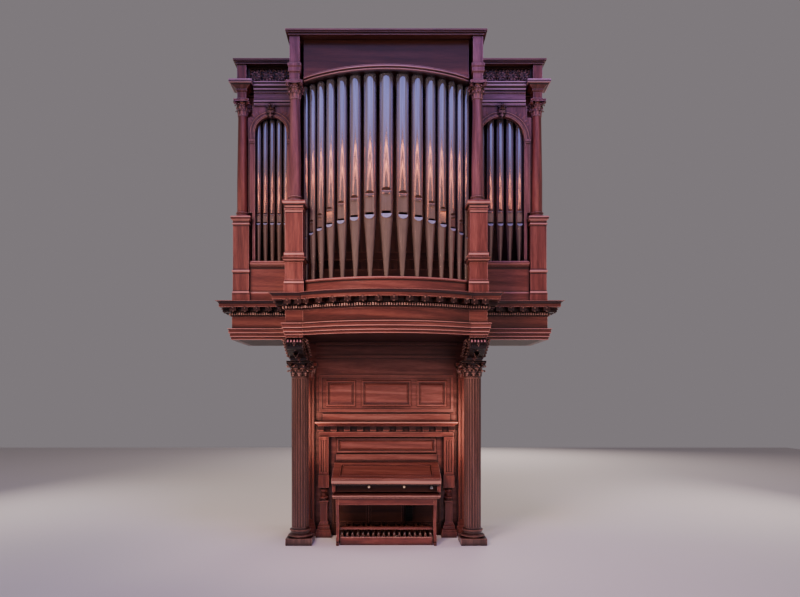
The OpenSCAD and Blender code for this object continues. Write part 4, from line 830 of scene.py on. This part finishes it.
def make_bracket_carving():
    """Volutes and leaves on the cheeks of the scrolled brackets, lobes over the roll and
    two long leaves under each."""
    eye = BRACKET_H * 0.27
    width = PIER_W - 0.020
    half = width / 2 + 0.006
    top = capitals_high.z
    roll_y, roll_z = pier_y + eye, top + BRACKET_H - eye - 0.006
    big = scroll(eye, 2.4, 0.017, 0.022, fade=0.16)
    small = scroll(0.036, 2.0, 0.010, 0.022, fade=0.2)
    lobe, pearl = bead(0.017), bead(0.009)
    under_leaf = acanthus(0.250, 0.170, 0.070, 6, curl=150)
    front_leaf = acanthus(0.120, 0.090, 0.050, 4)
    side_leaf = acanthus(0.085, 0.080, 0.050, 4, curl=230)
    small_y = column_y - 0.150
    leaf_run = pier_y + 0.050 - small_y
    pearl_y = column_y - 0.190
    pearl_run = pier_y + 0.130 - pearl_y
    lobes, side_leaves, pearls = 5, 6, 11
    bm, marks = bmesh.new(), bmesh.new()
    for side in (-1, 1):
        x = side * (column_x + pier_x) / 2
        for i in range(lobes):
            # The middle row of lobes is given pale oak as a painted highlight on the roll; the rows above
            # and below stay dark
            for lift, row in ((0, bm), (28, marks), (56, bm)):
                spot = at(x + (i - 2) * width * 0.2, roll_y, roll_z) @ turned(-lift, "X")
                stamp(row, lobe, spot @ moved(y=-eye) @ sized(0.72, 0.7, 1.35))
        for cheek in (-1, 1):
            face = x + cheek * half
            leaf_x = face - cheek * 0.006
            stamp(bm, big, at(face, roll_y, roll_z, cheek * 90) @ sized(cheek))
            stamp(bm, small, at(face, small_y, top + 0.036, cheek * 90) @ sized(cheek))
            for i in range(side_leaves):
                share = i / (side_leaves - 1)
                leaf_z = top + 0.008 + 0.150 * share
                for back in (0, 0.085):
                    spot = at(leaf_x, small_y + leaf_run * share + back, leaf_z, cheek * 90)
                    stamp(bm, side_leaf, spot @ turned(cheek * (30 - 20 * share), "Y"))
            for i in range(pearls):
                share = i / (pearls - 1)
                stamp(bm, pearl, at(face, pearl_y + pearl_run * share, top + 0.050 + 0.080 * share ** 1.4))
        stamp(bm, under_leaf, at(x, column_y - 0.130, top + 0.012) @ turned(70, "X"))
        stamp(bm, front_leaf, at(x, pier_y + eye * 1.3, top + BRACKET_H - eye * 2.1) @ turned(38, "X"))
    finished("bracket_carving", bm, carving)
    finished("bracket_marks", marks, mark_oak)


# Carving over the side bays

def make_foliage_bands():
    """Running scrolls with leaves in the sunk fields over the side bays."""
    edge = 0.024
    margin = 0.030
    inner = pier_x + 0.020 + margin
    low, high = bands_low.z + edge, bands_high.z - edge
    middle = (low + high) / 2
    y = bands_low.y + 0.012
    radius = (high - low) * 0.42
    coil = scroll(radius, 1.6, 0.017, 0.020, fade=0.2)
    leaf = acanthus(radius * 1.05, radius * 0.85, 0.030, 4)
    bm = bmesh.new()
    for start, end in ((inner, bands_high.x - middle_x - margin), (bands_low.x - middle_x + margin, -inner)):
        count = round((end - start) / (radius * 1.9))
        for i in range(count):
            place = at(start + (end - start) * (i + 0.5) / count, y, middle)
            flip = 1 if i % 2 else -1
            stamp(bm, coil, place @ sized(z=flip))
            for angle in range(0, 360, 45):
                behind = 0.004 if angle % 90 else 0.0
                petal = place @ turned(angle * flip + 20, "Y") @ moved(y=behind, z=radius * 0.12)
                stamp(bm, leaf, petal @ sized(0.6, 0.8, 0.85))
            for corner in range(45, 360, 90):
                bud = place @ turned(corner, "Y") @ moved(z=radius * 0.95)
                stamp(bm, leaf, bud @ sized(0.45, 0.7, 0.4))
    finished("carved_foliage", bm, carving)


def arch_bead(bm, radius, fat, place):
    """Half a ring of round section over an arch."""
    made = bmesh.ops.create_circle(bm, segments=8, radius=fat, matrix=place @ moved(x=radius))["verts"]
    ring = list({edge for vert in made for edge in vert.link_edges})
    bmesh.ops.spin(bm, geom=made + ring, axis=place.to_3x3() @ Vector((0, -1, 0)), cent=place.translation,
                   angle=math.pi, steps=32)
    bmesh.ops.holes_fill(bm, edges=[edge for edge in bm.edges if edge.is_boundary], sides=8)


def make_arch_carving():
    """A scrolled leaf on each keystone, beads round the arch and feathered leaves in the
    spandrels."""
    keystone = acanthus(0.150, 0.110, 0.052, 5)
    feather = acanthus(0.120, 0.040, 0.010, 6, curl=20)
    curl = scroll(0.034, 1.8, 0.012, 0.050, fade=0.25)
    feathers = 5
    first_lift, lift_step = 30, 8
    bm, low_relief, beads = bmesh.new(), bmesh.new(), bmesh.new()
    for name, r in ARCH_R.items():
        low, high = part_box(name)
        row_low, row_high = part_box(name.replace("arch", "pipes"))
        x = (row_low.x + row_high.x) / 2 - middle_x
        wall_y = low.y + ARCH_WALL_IN
        spring = low.z + ARCH_H - r
        stamp(bm, keystone, at(x, low.y + 0.004, high.z - 0.165))
        for end in (-1, 1):
            stamp(bm, curl, at(x + end * 0.020, low.y + 0.010, high.z - 0.040) @ sized(end))
            for i in range(feathers):
                lean = end * (90 - first_lift - lift_step * i)
                spot = at(x, wall_y - 0.001, spring) @ turned(lean, "Y") @ moved(z=r + ARCH_RIM + 0.006)
                stamp(low_relief, feather, spot @ sized(0.8, 0.5, 0.62 - 0.1 * abs(i - feathers // 2)))
        for radius, out, fat in ((r + ARCH_RIM - 0.005, 0.016, 0.007), (r + ARCH_RIM * 0.3, 0.026, 0.006),
                                 (r + 0.004, 0.026, 0.006)):
            arch_bead(beads, radius, fat, at(x, wall_y - out, spring))
    finished("keystone_leaves", bm, carving)
    finished("spandrel_leaves", low_relief, relief_oak)
    finished("arch_beads", beads, bead_oak)


# Pipes

def bow_pipes():
    """Yields the place of each mouth of the bow's pipes and the pipe's diameter."""
    r0 = bow_r - PIPE_SETBACK
    last = pipes_high.x - middle_x - PIPE_END_D / 2
    widths = [PIPE_D - (PIPE_D - PIPE_END_D) * i / PIPES_BESIDE for i in range(PIPES_BESIDE + 1)]
    gap = (math.asin(last / r0) * r0 - PIPES_BESIDE * (PIPE_D + PIPE_END_D) / 2) / PIPES_BESIDE
    run = 0.0
    for i, d in enumerate(widths):
        if i:
            run += (d + widths[i - 1]) / 2 + gap
        mouth = pipes_low.z + FOOT_H - MOUTH_FALL * (i / PIPES_BESIDE) ** 1.4
        for side in ((-1, 1) if i else (1,)):
            a = side * run / r0
            yield at(r0 * math.sin(a), bow_y - r0 * math.cos(a), mouth, math.degrees(a)), d


def side_bay_pipes():
    """The same for the straight rows in the side bays."""
    for name in ("left_pipes", "right_pipes"):
        low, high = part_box(name)
        d = high.y - low.y
        for i in range(SIDE_PIPES):
            x = low.x + d / 2 + (high.x - low.x - d) * i / (SIDE_PIPES - 1)
            yield at(x - middle_x, low.y + d / 2, low.z + SIDE_FOOT_H), d


def make_pipe_mouths():
    """Rounded lips along the slot and the top of the flat of each pipe. Their sizes are
    shares of its diameter."""
    flat_in = 0.77
    bm = bmesh.new()
    lip = lathe([(0, -0.5), (0.028, -0.48), (0.030, 0), (0.028, 0.48), (0, 0.5)], 10)
    for place, d in (*bow_pipes(), *side_bay_pipes()):
        for up, width, fat in ((d * 1.17, 0.66, 0.8), (0.004, 0.64, 0.5)):
            across = place @ moved(0, -d / 2 * flat_in, up) @ turned(90, "Y")
            stamp(bm, lip, across @ sized(d * fat, d * fat, d * width))
    finished("pipe_lips", bm, metal)


def lower_lip():
    """A half-round plate, one unit across, dished and leaning back so that it catches light
    from above. Its straight edge lies along X at the top."""
    bm = bmesh.new()
    bmesh.ops.create_circle(bm, cap_ends=True, segments=28, radius=0.5, matrix=turned(90, "X"))
    bmesh.ops.bisect_plane(bm, geom=bm.verts[:] + bm.edges[:] + bm.faces[:], plane_co=(0, 0, 0),
                           plane_no=(0, 0, 1), clear_outer=True)
    bmesh.ops.inset_region(bm, faces=bm.faces[:], thickness=0.05, depth=-0.02)
    bmesh.ops.solidify(bm, geom=bm.faces[:], thickness=0.03)
    return shape_of(bm)


def make_lower_lips():
    """A pale plate under each slot."""
    plate = lower_lip()
    lean = turned(-18, "X")
    bm = bmesh.new()
    for place, d in (*bow_pipes(), *side_bay_pipes()):
        slot = max(0.015, d * 0.19)
        stamp(bm, plate, place @ moved(0, -d * 0.46, -slot) @ lean @ sized(d * 0.72, d, d * 0.66))
    finished("lower_lips", bm, pale_metal)


def make_mouth_hollows():
    """Painted shade: a dark sheet on the upper half of the hollow over each flat, which looks down."""
    rise = 0.20
    pipe_r = 0.5
    proud = 0.004
    dome = bmesh.new()
    bmesh.ops.create_grid(dome, x_segments=12, y_segments=6, size=1)
    for vert in dome.verts:
        up = rise * (vert.co.y + 1) / 2
        out = HOLLOW_OUT - math.sqrt(HOLLOW_R ** 2 - up * up)
        half = 0.96 * math.sqrt(pipe_r ** 2 - out * out)
        vert.co = (half * vert.co.x, -out - proud, HOLLOW_UP + up)
    bmesh.ops.solidify(dome, geom=dome.faces[:], thickness=0.006)
    hollow = shape_of(dome)
    bm = bmesh.new()
    for place, d in (*bow_pipes(), *side_bay_pipes()):
        stamp(bm, hollow, place @ sized(d, d, d))
    finished("mouth_hollows", bm, hollow_shade_metal)


# Keydesk, bench and pedals

def make_keys():
    """Bone-plated keys with eased edges and ebony sharps, in place of the plain ones. Each
    manual is the place of its front and its top over the key bed, and the length of its keys."""
    key_h = 0.018
    octave, no_sharp = 7, (0, 3)
    low = keys_low
    width = keys_high.x - low.x
    middle = low.x + width / 2 - middle_x
    plates, sharps = bmesh.new(), bmesh.new()
    for front, up, length in ((0.0, 0.032, 0.130), (0.112, 0.084, 0.118)):
        y, top = low.y + front, low.z + up
        plate = block(KEY_PITCH - 0.0012, length, key_h, 0.0018)
        sharp = block(0.012, length * 0.64, 0.010, 0.0022)
        for i in range(WHITE_KEYS):
            x = middle + (i + 0.5 - WHITE_KEYS / 2) * KEY_PITCH
            stamp(plates, plate, at(x, y + length / 2, top))
            if i and i % octave not in no_sharp:
                stamp(sharps, sharp, at(x - KEY_PITCH / 2, y + length * 0.68, top + key_h))
    stamp(plates, block(width, 0.230, 0.032), at(middle, low.y + 0.121, low.z))
    stamp(plates, block(width, 0.105, 0.052), at(middle, low.y + 0.1835, low.z + 0.032))
    keys = finished("key_plates", plates, bone)
    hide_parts("keyboards")
    finished("key_sharps", sharps, ebony)


def make_knobs():
    """Turned draw knobs with bone faces on the slip under the lid, and a larger plated one."""
    front_y = lid_low.y + 0.074
    z = desk_foot + 0.062
    outwards = turned(90, "X")
    stem = lathe([(0, 0), (0.006, 0), (0.006, 0.016), (0.014, 0.020), (0.016, 0.030), (0.012, 0.036),
                  (0, 0.037)])
    round_knob = lathe([(0, 0), (0.010, 0), (0.008, 0.012), (0.020, 0.022), (0.023, 0.036), (0.018, 0.048),
                        (0, 0.052)])
    pair = [at(x, front_y, z) @ outwards for x in (-0.215, 0.222)]
    stamped("slip_knobs", stem, pair, bone)
    stamped("swell_knobs", round_knob, [at(0.560, front_y, z - 0.008) @ outwards], nickel)


def make_lid_frame():
    """Round beads along the edges of the lid's sunk field, which slopes with the lid."""
    hinge = Vector(frame["record"]["behaviour"]["joints"][0]["pos_m"])
    board = moved(middle_x, hinge.y, hinge.z) @ turned(LID_SLOPE, "X")
    lid_w = lid_high.x - lid_low.x
    overlap = 0.022
    rod = lathe([(0, -0.5), (0.007, -0.5), (0.007, 0.5), (0, 0.5)], 10)
    bm = bmesh.new()
    for inset, up in ((0.096, LID_R), (0.122, LID_R - 0.004)):
        wide = lid_w - 2 * inset
        front, back = -LID_LENGTH + inset - overlap, -inset + overlap
        for y in (front, back):
            stamp(bm, rod, board @ moved(0, y, up) @ turned(90, "Y") @ sized(z=wide))
        for end in (-1, 1):
            side = board @ moved(end * wide / 2, (front + back) / 2, up) @ turned(90, "X")
            stamp(bm, rod, side @ sized(z=back - front))
    finished("lid_frame_beads", bm, oak_x, body="lid")


def make_lid_felt():
    """A strip of black felt under the lip of the lid, which lands over the slip; it also darkens the gap
    there as painted shade.
    """
    width = lid_high.x - lid_low.x - 2 * 0.034
    place = moved(middle_x, lid_low.y + 0.011, lid_low.z - FELT_H + 0.002)
    bm = bmesh.new()
    stamp(bm, block(width, 0.010, FELT_H, 0.002), place)
    finished("lid_felt", bm, ebony, body="lid")


def make_pedal_caps():
    """Worn, pale strips along the fronts of the pedals, where shoes have taken the stain off."""
    cap = block(0.014, 0.070, 0.006, 0.002)
    y = pedal_keys_low.y + 0.036
    middle = (pedal_keys_low.x + pedal_keys_high.x) / 2 - middle_x
    places = [at(middle + (i - (PEDALS - 1) / 2) * PEDAL_PITCH, y, PEDAL_TOP) for i in range(PEDALS)]
    stamped("pedal_wear_strips", cap, places, bare_oak)


def make_swell_tread():
    """A ribbed black tread on the swell shoe over the pedals."""
    ribs = 9
    first_rib, rib_pitch = 0.014, 0.021
    plate = block(SHOE_W - 0.008, 0.008, SHOE_H - 0.012, 0.003)
    rib = block(SHOE_W - 0.016, 0.006, 0.006, 0.002)
    spot = at(SHOE_X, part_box("knee_panel")[0].y - 0.004, SHOE_Z + 0.006)
    bm = bmesh.new()
    stamp(bm, plate, spot)
    for i in range(ribs):
        stamp(bm, rib, spot @ moved(0, -0.005, first_rib + i * rib_pitch))
    finished("swell_tread", bm, iron)


# Camera, floor and lights

# In pixels of a picture 800 wide: how far the horizon and the organ's axis lie off its middle
PIXEL_W = 800
HORIZON_PX = 96.5
ASIDE_PX = 13.7
LENS_MM = 28
SENSOR_MM = 36
EYE_Y = -7.822
EYE_Z = 1.842


def make_camera():
    data = bpy.data.cameras.new("camera")
    data.lens = LENS_MM
    data.sensor_width = SENSOR_MM
    data.shift_x = ASIDE_PX / PIXEL_W
    data.shift_y = HORIZON_PX / PIXEL_W
    camera = bpy.data.objects.new("camera", data)
    bpy.context.scene.collection.objects.link(camera)
    camera.location = (middle_x, EYE_Y, EYE_Z)
    camera.rotation_euler = (math.radians(90), 0, 0)
    bpy.context.scene.camera = camera


def area_light(name, place, target, size, watts, colour, size_y=None):
    """A flat lamp at a place that faces a target; with size_y it is a long panel."""
    data = bpy.data.lights.new(name, "AREA")
    data.energy = watts
    data.color = linear(colour)[:3]
    data.size = size
    if size_y:
        data.shape = "RECTANGLE"
        data.size_y = size_y
    lamp = bpy.data.objects.new(name, data)
    bpy.context.scene.collection.objects.link(lamp)
    lamp.location = place
    lamp.rotation_euler = (Vector(target) - Vector(place)).to_track_quat("-Z", "Y").to_euler()
    lamp.visible_camera = False
    return lamp


def make_lamps():
    """Lamps that light the wood and aren't mirrored in it: a warm key and fill in front, a
    violet one high up, a glow in the recess, pale ones behind and beside, and a small warm
    one behind each big column."""
    key = area_light("key", (-2.6, -5.2, 4.8), (0, 0, 2.3), 2.0, 112, "#ffddd0")
    key.data.spread = math.radians(75)
    lamps = [key,
             area_light("fill", (2.8, -5.5, 1.5), (0, 0.3, 1.3), 2.5, 95, "#ffd0cc"),
             area_light("sky", (0.4, -2.8, 8.6), (0, 0.2, 4.9), 2.4, 370, "#a89eff"),
             area_light("glow", (0, -1.9, 1.5), (0, 0.4, 1.45), 0.8, 9, "#ffbcae"),
             area_light("back", (3.5, 13.0, 6.0), (0, 0.5, 2.5), 4.0, 900, "#fff0ea")]
    for name, x in (("left_side", -7.5), ("right_side", 7.5)):
        lamps.append(area_light(name, (x, 2.4, 3.6), (0, 1.0, 2.8), 3.0, 240, "#fff0ea"))
    lamp_x, lamp_y, lamp_z = column_x - 0.08, column_y + 0.17, 1.42
    for name, x in (("left_lamp", middle_x - lamp_x), ("right_lamp", middle_x + lamp_x)):
        lamps.append(area_light(name, (x, lamp_y, lamp_z), (x, 1.0, lamp_z), 0.16, 4.4, "#ffc2aa", 0.75))
    for lamp in lamps:
        lamp.visible_glossy = False


def make_panels():
    """Long panels that only the pipes and the varnish mirror: blue and lilac high up, tan
    below, and two thin warm bars that stretch to points on the round pipes."""
    rows = (("blue_panel", -9.0, 10.4, 17.0, 175, "#4f7dff", 3.8),
            ("lilac_panel", -9.3, 10.7, 90.0, 240, "#cbb4c6", 4.6),
            ("tan_panel", -9.3, 5.1, 90.0, 235, "#f2c6b4", 6.6),
            ("flame_high", -4.25, 6.13, 16.0, 48.0, "#ff9566", 0.07),
            ("flame_low", -4.25, 5.80, 16.0, 48.0, "#ff9566", 0.07))
    for name, y, z, width, watts, colour, height in rows:
        panel = area_light(name, (0, y, z), (0, -0.7, z), width, watts, colour, height)
        panel.visible_diffuse = False


def make_studio():
    """A dim pale room with the lamps, the panels and a matt pale floor."""
    world = bpy.data.worlds.new("studio")
    bpy.context.scene.world = world
    world.use_nodes = True
    background = world.node_tree.nodes["Background"]
    background.inputs["Color"].default_value = linear("#d6ccd2")
    background.inputs["Strength"].default_value = 0.32
    make_lamps()
    make_panels()
    bm = bmesh.new()
    bmesh.ops.create_grid(bm, x_segments=1, y_segments=1, size=14)
    mesh = bpy.data.meshes.new("studio_floor")
    bm.to_mesh(mesh)
    bm.free()
    floor = bpy.data.objects.new("studio_floor", mesh)
    bpy.context.scene.collection.objects.link(floor)
    material, tree = new_finish("pale floor")
    shader = tree.nodes["Principled BSDF"]
    shader.inputs["Base Color"].default_value = linear("#cfc8c4")
    shader.inputs["Roughness"].default_value = 0.6
    mesh.materials.append(material)


make_dentils()
make_block_leaves()
make_pier_beads()
make_capitals()
make_slim_capitals()
make_respond_capitals()
make_bracket_carving()
make_foliage_bands()
make_arch_carving()
make_pipe_mouths()
make_lower_lips()
make_mouth_hollows()
make_keys()
make_knobs()
make_lid_frame()
make_lid_felt()
make_pedal_caps()
make_swell_tread()
make_camera()
make_studio()
